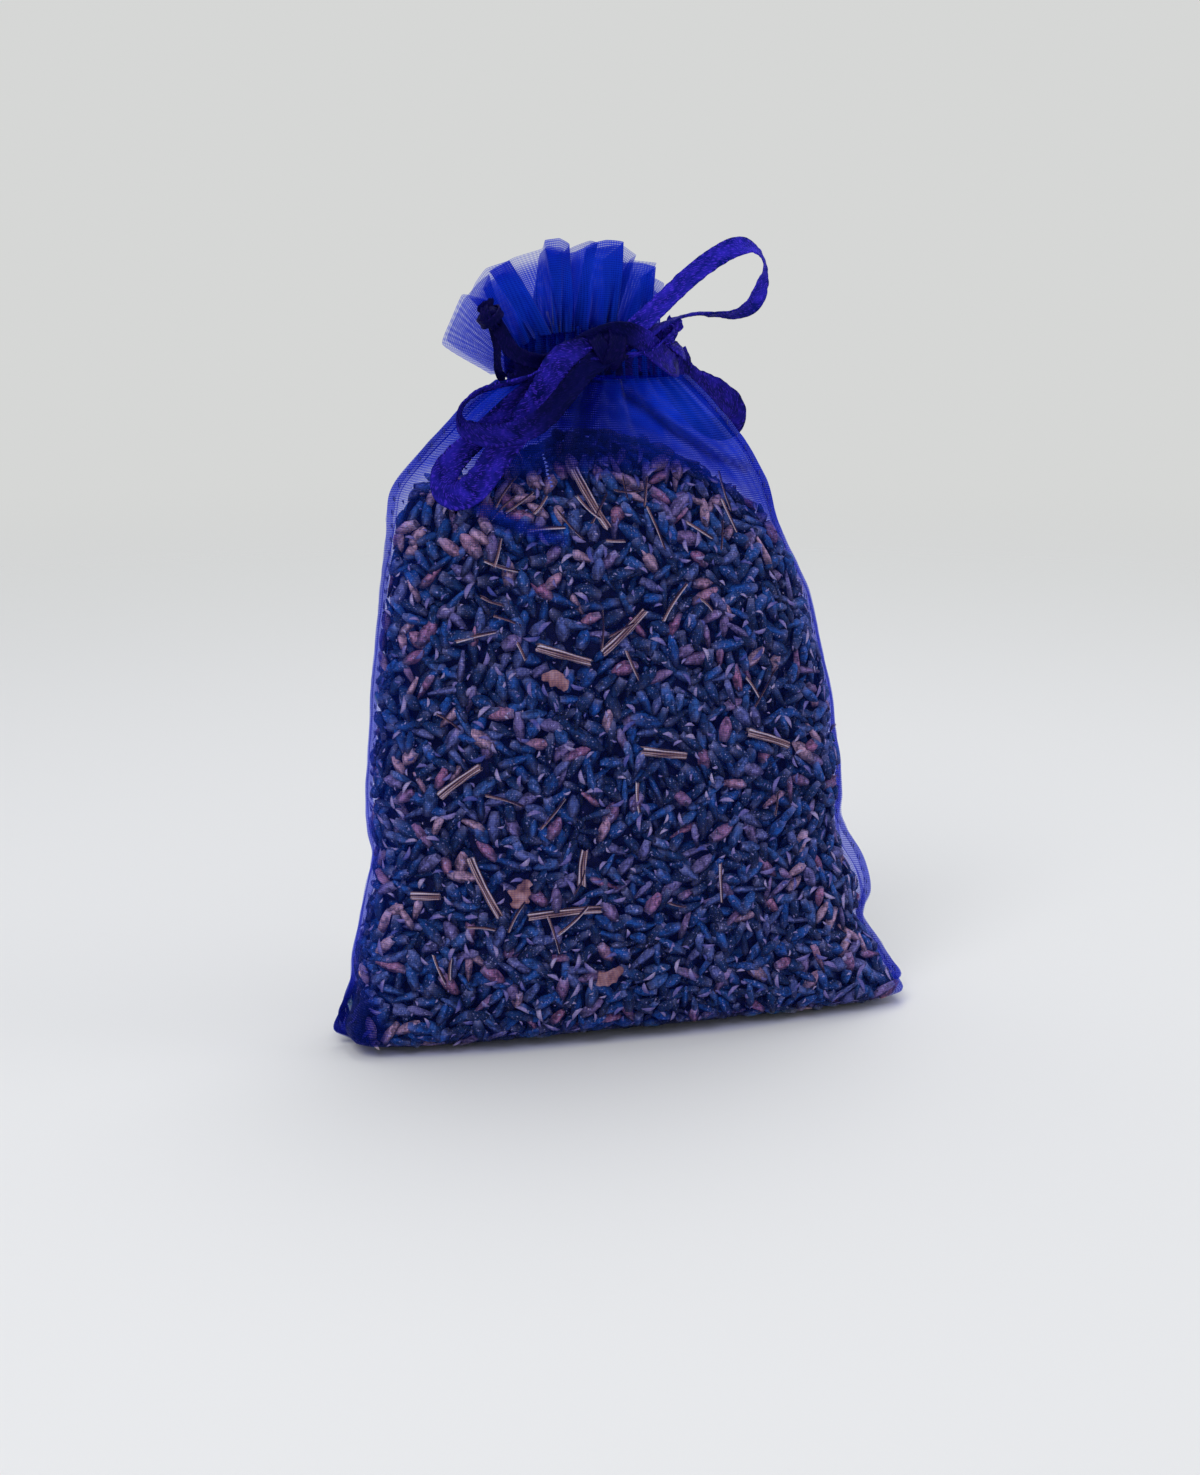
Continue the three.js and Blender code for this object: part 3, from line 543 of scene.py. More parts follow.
LEFT_DRAWSTRING_ROUTE = [
    (-18.8, -0.8, 110.6, 0),
    (-16.6, -2.6, 110.2, 0),
    (-12.4, -3.7, 110.4, 0),
    (-7.4, -4.1, 110.6, 0),
    (-2.4, -3.8, 110.4, 0),
    (2.0, -2.8, 110.2, 0),
    (5.0, -1.0, 110.4, 0),
    (5.4, 1.0, 110.8, 0),
    (2.4, 2.9, 111.0, 0),
    (-2.4, 3.9, 111.0, 0),
    (-8.0, 4.2, 111.0, 0),
    (-13.4, 3.6, 111.0, 0),
    (-17.4, 2.2, 110.8, 0),
    (-18.9, 0.8, 110.7, 0),
]


class SachetCloth(bpy.types.PropertyGroup):
    """The organza"""

    thread_pitch: FloatProperty(
        name="Thread Pitch",
        description="Distance between the organza's threads",
        default=0.39 * MM,
        unit="LENGTH",
    )
    tint: FloatVectorProperty(
        name="Tint",
        description="Light that one layer of organza lets through",
        default=(0.665, 0.685, 0.94),
        subtype="COLOR",
    )
    colour: FloatVectorProperty(
        name="Colour",
        description="Colour of the organza's threads",
        default=(0.003, 0.044, 0.68),
        subtype="COLOR",
    )


class SachetRibbon(bpy.types.PropertyGroup):
    """The satin ribbon"""

    width: FloatProperty(name="Width", description="Ribbon's width", default=3.0 * MM, unit="LENGTH")
    thickness: FloatProperty(
        name="Thickness", description="Ribbon's thickness", default=0.3 * MM, unit="LENGTH"
    )
    # dark and bright are the satin's painted shade in its creases and painted light where it catches light
    dark: FloatVectorProperty(
        name="Dark", description="Satin in its creases", default=(0.001, 0.004, 0.09), subtype="COLOR"
    )
    bright: FloatVectorProperty(
        name="Bright",
        description="Satin where it catches light",
        default=(0.027, 0.019, 0.50),
        subtype="COLOR",
    )


class SachetLavender(bpy.types.PropertyGroup):
    """The dried lavender"""

    bud_length: FloatProperty(
        name="Bud Length", description="A bud's length", default=4.8 * MM, unit="LENGTH"
    )
    bud_width: FloatProperty(name="Bud Width", description="A bud's width", default=2.05 * MM, unit="LENGTH")
    spacing: FloatProperty(
        name="Spacing", description="Least distance between buds", default=1.95 * MM, unit="LENGTH"
    )
    seed: IntProperty(name="Seed", description="Seed for the buds' places", default=7)


def scene_sizes():
    scene = bpy.context.scene
    return scene.sachet_cloth, scene.sachet_ribbon, scene.sachet_lavender


# Shapes


def hermite(t, start, end, start_way, end_way):
    """A smooth curve's place at t from 0 to 1, which leaves and arrives along the two ways."""
    return (
        (2 * t**3 - 3 * t**2 + 1) * start
        + (t**3 - 2 * t**2 + t) * start_way
        + (3 * t**2 - 2 * t**3) * end
        + (t**3 - t**2) * end_way
    )


def table_at(table, x, column):
    """A table's column at x, by a smooth curve through its rows."""
    places = [row[0] for row in table]
    if x <= places[0]:
        return table[0][column]
    if x >= places[-1]:
        return table[-1][column]
    k = bisect.bisect_right(places, x) - 1

    def slope(i):
        low, high = max(i - 1, 0), min(i + 1, len(table) - 1)
        return (table[high][column] - table[low][column]) / (places[high] - places[low])

    span = places[k + 1] - places[k]
    start, end = table[k][column], table[k + 1][column]
    return hermite((x - places[k]) / span, start, end, span * slope(k), span * slope(k + 1))


def smoothstep(x, low, high):
    t = min(max((x - low) / (high - low), 0), 1)
    return t * t * (3 - 2 * t)


class Outline(NamedTuple):
    """The pouch's section at a height: its edges, the belly between its flat margins, and the half depth."""

    left: float
    right: float
    belly_left: float
    belly_right: float
    half_depth: float

    @property
    def middle(self):
        return (self.belly_left + self.belly_right) / 2

    @property
    def half_width(self):
        return (self.belly_right - self.belly_left) / 2


outlines = {}


def outline_at(height):
    """The pouch's outline at a height, worked out once for each height."""
    key = round(height, 4)
    if key not in outlines:
        share = height / NECK_HEIGHT
        left = -table_at(ROW_SHARES, share, 1) * CORNER_HALF_WIDTH
        right = table_at(ROW_SHARES, share, 2) * CORNER_HALF_WIDTH
        margins = [table_at(MARGIN_WIDTHS, share, side) for side in (1, 2)]
        half_depth = table_at(ROW_SHARES, share, 3) * BELLY_HALF_DEPTH
        outlines[key] = Outline(left, right, left + margins[0], right - margins[1], half_depth)
    return outlines[key]


def fullness(height):
    """How boxy the pouch is at a height: 1 is an ellipse, and less is fuller at its sides."""
    return 0.2 + 0.3 * smoothstep(height, 0, 7) + 0.4 * smoothstep(height, 6, 26)


def belly_point(facing, x_share, height):
    """(x, y) of the belly's cloth, from its left edge at -1 to its right edge at 1."""
    outline = outline_at(height)
    turn = x_share * math.pi / 2
    x = outline.middle + outline.half_width * math.sin(turn)
    return x, facing * outline.half_depth * max(math.cos(turn), 0) ** fullness(height)


def belly_depth(outline, share, height):
    """How far out the belly's cloth is, at a share of its half width from the middle."""
    return outline.half_depth * math.sqrt(1 - share * share) ** fullness(height)


def front_y(x, z):
    """Middle of the front cloth at a place on the belly."""
    outline = outline_at(z)
    share = min(max((x - outline.middle) / outline.half_width, -1), 1)
    return -belly_depth(outline, share, z)


def corner_lift(x, height=0):
    """How far the cloth is lifted off the floor towards a lower corner, fading out above it."""
    lift = CORNER_LIFT * smoothstep(abs(x), LIFT_START_SHARE * CORNER_HALF_WIDTH, CORNER_HALF_WIDTH)
    return lift * (1 - smoothstep(height, 0, LIFT_HEIGHT))


def margin_wave(side, height):
    """How far the flat margin of a side waves to the back."""
    rise = smoothstep(height, 3, 20) * (1 - smoothstep(height, 85, 105))
    turn = 0.16 * height + side
    return rise * (0.7 * math.sin(turn) + 0.45 * math.sin(2.3 * turn + 1))


def fill_top(x):
    """Height of the heap's top at a place across."""
    return table_at(FILL_TOP_SHARES, x / CORNER_HALF_WIDTH, 1) * NECK_HEIGHT


def line_distance(points, x, z):
    """Distance of (x, z) from a line through points, and the share along it."""
    nearest, share = math.inf, 0
    for k, ((ax, az), (bx, bz)) in enumerate(zip(points, points[1:])):
        dx, dz = bx - ax, bz - az
        t = min(max(((x - ax) * dx + (z - az) * dz) / (dx * dx + dz * dz), 0), 1)
        gap = math.hypot(x - ax - t * dx, z - az - t * dz)
        if gap < nearest:
            nearest, share = gap, (k + t) / (len(points) - 1)
    return nearest, share


def crease_at(creases, x, z):
    """(rise, layers) that the creases give the cloth at (x, z)."""
    rise = layers = 0
    for points, half_width, height, extra in creases:
        reach = 4 * half_width
        across, upward = zip(*points)
        if not min(across) - reach < x < max(across) + reach:
            continue
        if not min(upward) - reach < z < max(upward) + reach:
            continue
        gap, along = line_distance(points, x, z)
        if 0 < along < 1:
            fade = math.sin(math.pi * along) ** 0.5
            rise += height * fade * math.exp(-((gap / (1.6 * half_width)) ** 2))
            layers += extra * fade * math.exp(-((gap / half_width) ** 4))
    return rise, layers


def bow_press_and_shade(x, z):
    """How far the bow presses the front cloth together at a place, from 0 to 1, which adds layers of cloth
    there and also sets the painted shade under the bow.
    """
    edge = 0.09 * (NECK_HEIGHT - z) ** 2 - 3.6
    inside = smoothstep(x, -24, -14) * (1 - smoothstep(x, edge - 2.5, edge + 0.8))
    return inside * (1 - 0.5 * smoothstep(x, -8, max(edge, -7)))


def panel_layers(x, z, x_share, facing):
    """Layers of cloth at a place of a panel, without its creases."""
    layers = 0.55 + 0.95 * smoothstep(abs(x_share), 0.76, 1)
    top = fill_top(x)
    empty = smoothstep(z, top - 5, top + 1.5)
    middle = smoothstep(x, -33, -20) * (1 - 0.25 * smoothstep(x, 10, 22))
    layers += empty * (0.8 + 2.7 * middle)
    layers += (1.0 + 2.4 * middle) * smoothstep(z, 92, NECK_HEIGHT - 1) ** 1.2
    if facing < 0:
        layers += 3.4 * bow_press_and_shade(x, z) * smoothstep(z, 93, 99)
    layers += 3.5 * smoothstep(-x, 43, 48) * (1 - smoothstep(z, 6, 13))
    layers += 1.3 * smoothstep(x, 43, 48) * (1 - smoothstep(z, 3, 8))
    return layers * (1 + 0.2 * noise.noise(Vector((x, 2.5 * z, 11 * facing)) * 0.08))


def corner_shade(point):
    """How shaded the cloth is where the lower left corner is pinched."""
    return 0.85 * smoothstep(-point.x, 42, 46.5) * (1 - smoothstep(point.z, 7, 14))


def panel_shade(point):
    """How shaded a panel's cloth is: over the lavender, in the left corner, under the bow and in a crease."""
    x, z = point.x, point.z
    top = fill_top(x)
    outline = outline_at(round(max(z, 0), 2))
    inward = smoothstep(min(x - outline.left, outline.right - x), 1, 8)
    filled = 0.65 * inward * (1 - smoothstep(z, top - 6, top + 1))
    shades = [filled, corner_shade(point)]
    if point.y > 0:
        return max(shades)
    # Painted shade under the bow, where it presses the cloth together
    above = smoothstep(z, 91, 98) * (1 - 0.75 * smoothstep(z, 111, 115))
    shades.append(0.96 * bow_press_and_shade(x, z) * above)
    if z > LOWEST_CREASE_SHADE:
        for line, strength, reach in CREASE_SHADES:
            gap = line_distance(FRONT_CREASES[line][0], x, z)[0]
            shades.append(strength * math.exp(-((gap / reach) ** 2)))
    return max(shades)


def base_point(facing, x, y, t):
    """(point in metres, layers of cloth) under the pouch, t from 0 at the bottom seam to 1 at the panel."""
    if abs(y) > BASE_SEAM_HALF_DEPTH:
        y = facing * (BASE_SEAM_HALF_DEPTH + (abs(y) - BASE_SEAM_HALF_DEPTH) * t)
    else:
        y *= 0.3 + 0.7 * t
    layers = 1 + 3 * smoothstep(-x, 43, 48) + 1.3 * smoothstep(x, 43, 47)
    return Vector((x, y, FLOOR_GAP + corner_lift(x))) * MM, layers


def gathers_at(facing, x, z, x_share, height):
    """(rise, layers) of the gathers below the neck, which the bow's pull smooths at the front right."""
    gathered = smoothstep(height, GATHER_START, NECK_HEIGHT)
    phase = GATHER_COUNT * x_share + facing * 0.7 + 0.5 * math.sin(4 * x_share + facing)
    narrow, wide = (math.cos(2 * math.pi * phase * rate + start) for rate, start in ((0.78, 0), (0.31, 1)))
    folds = 0.55 * narrow + 0.45 * wide
    if facing < 0:
        folds *= 1 - 0.7 * smoothstep(x, -4, 4) * (1 - smoothstep(z, 106, 111))
    return GATHER_DEPTH * gathered**1.3 * folds, 1.4 * gathered * max(-folds, 0)


def panel_point(facing, across, along):
    """(point in metres, layers of cloth) on a panel, at shares across it and up it from the bottom seam."""
    base = along < BASE_ROW_SHARE
    height = 0 if base else NECK_HEIGHT * (along - BASE_ROW_SHARE) / (1 - BASE_ROW_SHARE)
    outline = outline_at(height)
    side = -1 if across < 0.5 else 1
    wave = margin_wave(side, height)
    margin = min(across, 1 - across) / MARGIN_SHARE
    if margin < 1:
        edge, inner = (outline.left, outline.belly_left) if side < 0 else (outline.right, outline.belly_right)
        x_share = side
        x, y = edge + (inner - edge) * margin, 0
    else:
        x_share = 2 * (across - MARGIN_SHARE) / (1 - 2 * MARGIN_SHARE) - 1
        x, y = belly_point(facing, x_share, height)
        wave *= smoothstep(abs(x_share), 0.75, 1)
    y += facing * MARGIN_HALF_GAP + wave
    if base:
        return base_point(facing, x, y, along / BASE_ROW_SHARE)
    z = height + FLOOR_GAP * (1 - smoothstep(height, 0, FLOOR_GAP_HEIGHT)) + corner_lift(x, height)
    layers = panel_layers(x, z, x_share, facing)
    outward = math.cos(x_share * math.pi / 2) if abs(x_share) < 1 else 0
    rise, extra = gathers_at(facing, x, z, x_share, height)
    y += facing * rise * outward**0.5
    layers += extra
    rise, extra = crease_at(FRONT_CREASES if facing < 0 else BACK_CREASES, x, z)
    y += facing * rise * min(1, 2 * outward)
    layers += extra
    gathered = smoothstep(height, GATHER_START, NECK_HEIGHT)
    lump = noise.noise(Vector((x, z, 7 * facing)) * 0.23) * 0.9
    swell = noise.noise(Vector((x, z, 3 * facing)) * 0.06) * 1.1
    y += facing * (LUMP_DEPTH * lump * (1 - gathered) + SWELL_DEPTH * swell) * outward**0.5
    x += 0.3 * lump * (1 - outward)
    return Vector((x, y, z)) * MM, max(layers, LEAST_LAYERS)


def smooth_route(route, per_span, closed=False, ease=0.5):
    """Rows of a smooth curve through a route's rows. ease 0.5 is round, and less keeps its corners crisp."""
    rows = np.array(route, float)
    if closed:
        rows = np.vstack([rows[-1:], rows, rows[:2]])
    else:
        rows = np.vstack([2 * rows[:1] - rows[1:2], rows, 2 * rows[-1:] - rows[-2:-1]])
    steps = np.arange(per_span)[:, None] / per_span
    parts = []
    for before, start, end, after in zip(rows, rows[1:], rows[2:], rows[3:]):
        parts.append(hermite(steps, start, end, ease * (end - before), ease * (after - start)))
    if not closed:
        parts.append(rows[-2:-1])
    return np.vstack(parts)


def lengths_along(points):
    """Length of a line of points up to each of them."""
    return np.concatenate([[0], np.cumsum(np.linalg.norm(np.diff(points, axis=0), axis=1))])


def finish_object(mesh, name, material, body="pouch"):
    """A new object of a mesh, with its material and slot, riding on its body if it has just one."""
    mesh.materials.append(material)
    obj = bpy.data.objects.new(name, mesh)
    bpy.context.collection.objects.link(obj)
    if body is not None:
        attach(obj, body)
    return obj


def finish_mesh(bm, name, material, body="pouch"):
    """A new smooth object from bm, which is freed."""
    mesh = bpy.data.meshes.new(name)
    bm.to_mesh(mesh)
    bm.free()
    mesh.polygons.foreach_set("use_smooth", [True] * len(mesh.polygons))
    return finish_object(mesh, name, material, body)


def cloth_grid(columns, rows, place, flat, close=None, shade=None):
    """A bmesh grid moved to place(across, along), which gives a point and its layers of cloth.
    flat is the cut cloth's width and length in millimetres, which its map follows. Points nearer
    than close are joined, and shade(point in millimetres) gives the cloth its painted shade."""
    bm = bmesh.new()
    cloth_map = bm.loops.layers.uv.new("cloth")
    layers = bm.verts.layers.float.new("layers")
    shades = bm.verts.layers.float.new("shade")
    bmesh.ops.create_grid(bm, x_segments=columns, y_segments=rows, size=0.5)
    shares = {vert: (vert.co.x + 0.5, vert.co.y + 0.5) for vert in bm.verts}
    for face in bm.faces:
        for loop in face.loops:
            across, along = shares[loop.vert]
            loop[cloth_map].uv = (across * flat[0], along * flat[1])
    for vert, (across, along) in shares.items():
        vert.co, vert[layers] = place(across, along)
        vert[shades] = shade(vert.co / MM) if shade else 0
    if close:
        bmesh.ops.remove_doubles(bm, verts=bm.verts, dist=close)
    return bm


def close_ends(bm):
    """Fill a tube's open ends and turn its faces outwards."""
    bmesh.ops.holes_fill(bm, edges=[edge for edge in bm.edges if edge.is_boundary], sides=0)
    bmesh.ops.recalc_face_normals(bm, faces=bm.faces)


def thicken(bm, thickness):
    """Give a sheet its thickness and turn its faces outwards."""
    bmesh.ops.solidify(bm, geom=bm.faces[:], thickness=thickness)
    bmesh.ops.recalc_face_normals(bm, faces=bm.faces)


def add_bead(bm, radii, place, matrix=None):
    """Add a small oval, turned by a matrix if there is one, at a place."""
    made = bmesh.ops.create_icosphere(bm, subdivisions=1, radius=1)["verts"]
    bmesh.ops.scale(bm, verts=made, vec=Vector(radii))
    if matrix is not None:
        bmesh.ops.rotate(bm, verts=made, cent=(0, 0, 0), matrix=matrix)
    bmesh.ops.translate(bm, verts=made, vec=place)


def join_bmeshes(parts):
    """One bmesh of several, which are freed."""
    whole = bmesh.new()
    whole.loops.layers.uv.new("cloth")
    for part in parts:
        mesh = bpy.data.meshes.new("part")
        part.to_mesh(mesh)
        part.free()
        whole.from_mesh(mesh)
        bpy.data.meshes.remove(mesh)
    return whole


def ribbon_frames(rows, width_way, closed):
    """For each row of a smooth route: its place, the way across the ribbon, and the way out of it."""
    centre = rows[:, :3]
    tangent = np.gradient(centre, axis=0)
    if closed:
        tangent[0] = tangent[-1] = centre[1] - centre[-2]
    frames = []
    for place, way, turn in zip(centre, tangent, rows[:, 3]):
        way = Vector(way).normalized()
        flat = Vector(width_way)
        flat = (flat - way * flat.dot(way)).normalized()
        across = Matrix.Rotation(math.radians(turn), 3, way) @ flat
        frames.append((Vector(place), across, way.cross(across)))
    return frames


def ribbon_bmesh(route, width, seed, width_way=(0, 1, 0), closed=False, widen=None, shade=None):
    """(bmesh, length in metres) of a crinkled satin ribbon along a route.
    widen(share along) scales its width, and shade(point, share along) gives it painted shade."""
    rows = smooth_route(route, RIBBON_STEPS, closed)
    if closed:
        rows = np.vstack([rows, rows[:1]])
    frames = ribbon_frames(rows, width_way, closed)
    lengths = lengths_along(rows[:, :3])
    whole = lengths[-1]
    last = len(frames) - 1

    def place(u, v):
        k = round(v * last)
        centre, across, out = frames[k]
        s = min(lengths[k], whole - lengths[k]) if closed else lengths[k]
        edge = 1 + 0.09 * noise.noise(Vector((0.9 * s, 3 * round(u), seed)))
        half = width / MM / 2 * edge * (widen(v) if widen else 1)
        side = 2 * u - 1
        crinkle = noise.noise(Vector((1.1 * side, 0.55 * s, seed)))
        crinkle += 0.6 * noise.noise(Vector((2.1 * side, 1.6 * s, seed + 5)))
        cup = 0.22 * (side * side - 0.4)
        point = centre + across * (side * half) + out * (0.2 * crinkle + cup)
        return point * MM, 1.0

    bm = cloth_grid(RIBBON_COLUMNS, last, place, (width / MM, whole), JOIN_GAP if closed else None)
    if shade:
        shades = bm.verts.layers.float["shade"]
        cloth_map = bm.loops.layers.uv["cloth"]
        for vert in bm.verts:
            along = vert.link_loops[0][cloth_map].uv.y / whole
            vert[shades] = shade(vert.co / MM, along)
    thicken(bm, scene_sizes()[1].thickness)
    return bm, whole * MM


# Materials


def add_node(tree, kind, **values):
    """A new node with its values, placed after the tree's other nodes in columns of five."""
    node = tree.nodes.new(kind)
    column, row = divmod(len(tree.nodes) - 1, 5)
    node.location = (220 * column, -260 * row)
    for key, value in values.items():
        setattr(node, key, value)
    return node


def set_input(tree, node, key, value):
    """Set a node's input to a value, or join another node's output to it."""
    if isinstance(value, bpy.types.NodeSocket):
        tree.links.new(value, node.inputs[key])
    else:
        node.inputs[key].default_value = value


def set_surface(tree, shader):
    set_input(tree, tree.nodes["Output"], "Surface", shader)


def math_node(tree, operation, *values):
    node = add_node(tree, "ShaderNodeMath", operation=operation)
    for k, value in enumerate(values):
        set_input(tree, node, k, value)
    return node.outputs[0]


def attribute_node(tree, name):
    return add_node(tree, "ShaderNodeAttribute", attribute_name=name).outputs["Fac"]


def mix_colours(tree, factor, first, second, blend="MIX"):
    node = add_node(tree, "ShaderNodeMix", data_type="RGBA", blend_type=blend)
    for key, value in (("Factor", factor), ("A", first), ("B", second)):
        set_input(tree, node, key, value)
    return node.outputs["Result"]


def mix_shaders(tree, factor, first, second):
    """Show a mix of two shaders at the tree's output."""
    node = add_node(tree, "ShaderNodeMixShader")
    for k, value in enumerate((factor, first, second)):
        set_input(tree, node, k, value)
    set_surface(tree, node.outputs[0])


def noise_node(tree, vector, scale, detail, distortion=0.0):
    node = add_node(tree, "ShaderNodeTexNoise")
    for key, value in (("Vector", vector), ("Scale", scale), ("Detail", detail), ("Distortion", distortion)):
        set_input(tree, node, key, value)
    return node.outputs["Fac"]


def ramp_node(tree, factor, stops):
    """A colour ramp through stops of (place, colour)."""
    node = add_node(tree, "ShaderNodeValToRGB")
    elements = node.color_ramp.elements
    while len(elements) < len(stops):
        elements.new(0.5)
    for element, (place, colour) in zip(elements, stops):
        element.position = place
        element.color = (*colour, 1)
    set_input(tree, node, "Fac", factor)
    return node.outputs["Color"]


def bump_node(tree, height, strength, distance, shader):
    """Give a shader the bumps of a height."""
    node = add_node(tree, "ShaderNodeBump")
    for key, value in (("Height", height), ("Strength", strength), ("Distance", distance)):
        set_input(tree, node, key, value)
    set_input(tree, shader, "Normal", node.outputs[0])


def object_vector(tree, stretch=(1, 1, 1)):
    """The object's own coordinates, stretched."""
    coordinates = add_node(tree, "ShaderNodeTexCoord")
    mapping = add_node(tree, "ShaderNodeMapping")
    set_input(tree, mapping, "Scale", stretch)
    set_input(tree, mapping, "Vector", coordinates.outputs["Object"])
    return mapping.outputs[0]


def map_vector(tree, stretch=(1, 1, 1), turn=0):
    """The cloth's own map, turned and then stretched."""
    coordinates = add_node(tree, "ShaderNodeUVMap", uv_map="cloth")
    mapping = add_node(tree, "ShaderNodeMapping", vector_type="TEXTURE")
    set_input(tree, mapping, "Rotation", (0, 0, turn))
    set_input(tree, mapping, "Scale", tuple(1 / s for s in stretch))
    set_input(tree, mapping, "Vector", coordinates.outputs[0])
    return mapping.outputs[0]


def new_material(name, roughness, specular):
    """(material, its node tree, its Principled node)"""
    material = bpy.data.materials.new(name)
    material.use_nodes = True
    tree = material.node_tree
    tree.nodes.clear()
    add_node(tree, "ShaderNodeOutputMaterial", name="Output")
    shader = add_node(tree, "ShaderNodeBsdfPrincipled")
    set_input(tree, shader, "Roughness", roughness)
    set_input(tree, shader, "Specular IOR Level", specular)
    set_surface(tree, shader.outputs[0])
    return material, tree, shader


def scaled(colour, share):
    return tuple(share * c for c in colour)


def thread_group():
    """Node group: how much thread, around 1, covers the cloth at a place of its map, in millimetres."""
    name = "Organza Threads"
    if name in bpy.data.node_groups:
        return bpy.data.node_groups[name]
    group = bpy.data.node_groups.new(name, "ShaderNodeTree")
    for socket, direction, kind in [
        ("Map", "INPUT", "NodeSocketVector"),
        ("Pitch", "INPUT", "NodeSocketFloat"),
        ("Contrast", "INPUT", "NodeSocketFloat"),
        ("Cover", "OUTPUT", "NodeSocketFloat"),
    ]:
        group.interface.new_socket(socket, in_out=direction, socket_type=kind)
    start = add_node(group, "NodeGroupInput")
    end = add_node(group, "NodeGroupOutput")
    split = add_node(group, "ShaderNodeSeparateXYZ")
    set_input(group, split, 0, start.outputs["Map"])
    waves = []
    for k, weight in enumerate((0.38, 0.62)):
        turn = math_node(group, "DIVIDE", split.outputs[k], start.outputs["Pitch"])
        turn = math_node(group, "MULTIPLY", turn, 2 * math.pi)
        waves.append(math_node(group, "MULTIPLY", math_node(group, "COSINE", turn), weight))
    both = math_node(group, "ADD", *waves)
    both = math_node(group, "MULTIPLY", both, start.outputs["Contrast"])
    set_input(group, end, "Cover", math_node(group, "ADD", both, 1.0))
    return group


def organza_material(name="Blue Organza", open_share=0.9, pale=(0, 0, 0)):
    """See-through dyed cloth: each layer tints what is behind it, and its threads catch a little light."""
    cloth = scene_sizes()[0]
    material, tree, shader = new_material(name, 0.6, 0.05)
    threads = add_node(tree, "ShaderNodeGroup", node_tree=thread_group())
    set_input(tree, threads, "Pitch", cloth.thread_pitch / MM)
    set_input(tree, threads, "Contrast", 0.75)
    set_input(tree, threads, "Map", map_vector(tree))
    cover = threads.outputs["Cover"]
    depth = math_node(tree, "MULTIPLY", attribute_node(tree, "layers"), cover)
    tint = add_node(tree, "ShaderNodeGamma")
    set_input(tree, tint, "Color", (*cloth.tint, 1))
    set_input(tree, tint, "Gamma", depth)
    clear = add_node(tree, "ShaderNodeBsdfTransparent")
    set_input(tree, clear, "Color", tint.outputs[0])
    thread_part = math_node(tree, "SUBTRACT", 1.0, math_node(tree, "POWER", open_share, depth))
    mottle = noise_node(tree, object_vector(tree), 160, 3)
    # pale is added to the threads' colour: a painted sheen, as of light off the threads at a grazing angle.
    dark = tuple(0.75 * c + p for c, p in zip(cloth.colour, pale))
    bright = tuple(min(1, 1.15 * c + p) for c, p in zip(cloth.colour, pale))
    lit = ramp_node(tree, mottle, [(0.35, dark), (0.7, bright)])
    # Where the shade attribute is set, the threads' colour turns towards a dark one: painted shade.
    shaded = (*scaled(cloth.colour, 0.12), 1)
    colour = mix_colours(tree, attribute_node(tree, "shade"), lit, shaded)
    set_input(tree, shader, "Base Color", colour)
    set_input(tree, shader, "Sheen Weight", 0.2)
    set_input(tree, shader, "Sheen Roughness", 0.4)
    set_input(tree, shader, "Sheen Tint", (0.6, 0.66, 1, 1))
    bump_node(tree, cover, 0.2, 0.00005, shader)
    mix_shaders(tree, thread_part, clear.outputs[0], shader.outputs[0])
    return material


def satin_material(name="Violet Satin", dark_share=1.0, bright_share=1.0):
    """Narrow satin ribbon: painted shade and light on broad folds, small flecks of painted glint where its
    crushed threads catch light, and more painted shade by its shade attribute.
    """
    ribbon = scene_sizes()[1]
    material, tree, shader = new_material(name, 0.46, 0.03)
    broad = noise_node(tree, map_vector(tree, (0.5, 0.3, 1)), 1.0, 3, 0.5)
    flecks = noise_node(tree, map_vector(tree, (6.2, 1.3, 1), 0.5), 1.0, 1, 0.2)
    dark = scaled(ribbon.dark, dark_share)
    bright = scaled(ribbon.bright, bright_share)
    glint = tuple(min(1, c * k) for c, k in zip(bright, (2.6, 1.7, 1.4)))
    # Painted shade and light of broad folds, with painted glints on the flecks
    folds = ramp_node(tree, broad, [(0.34, dark), (0.74, bright)])
    shine = ramp_node(tree, flecks, [(0.56, (0, 0, 0)), (0.62, (1, 1, 1))])
    colour = mix_colours(tree, math_node(tree, "MULTIPLY", shine, 0.7), folds, (*glint, 1))
    # Painted shade where the shade attribute is set
    shaded = (*scaled(ribbon.dark, 0.35), 1)
    colour = mix_colours(tree, attribute_node(tree, "shade"), colour, shaded)
    set_input(tree, shader, "Base Color", colour)
    bump_node(tree, flecks, 0.5, 0.0003, shader)
    return material


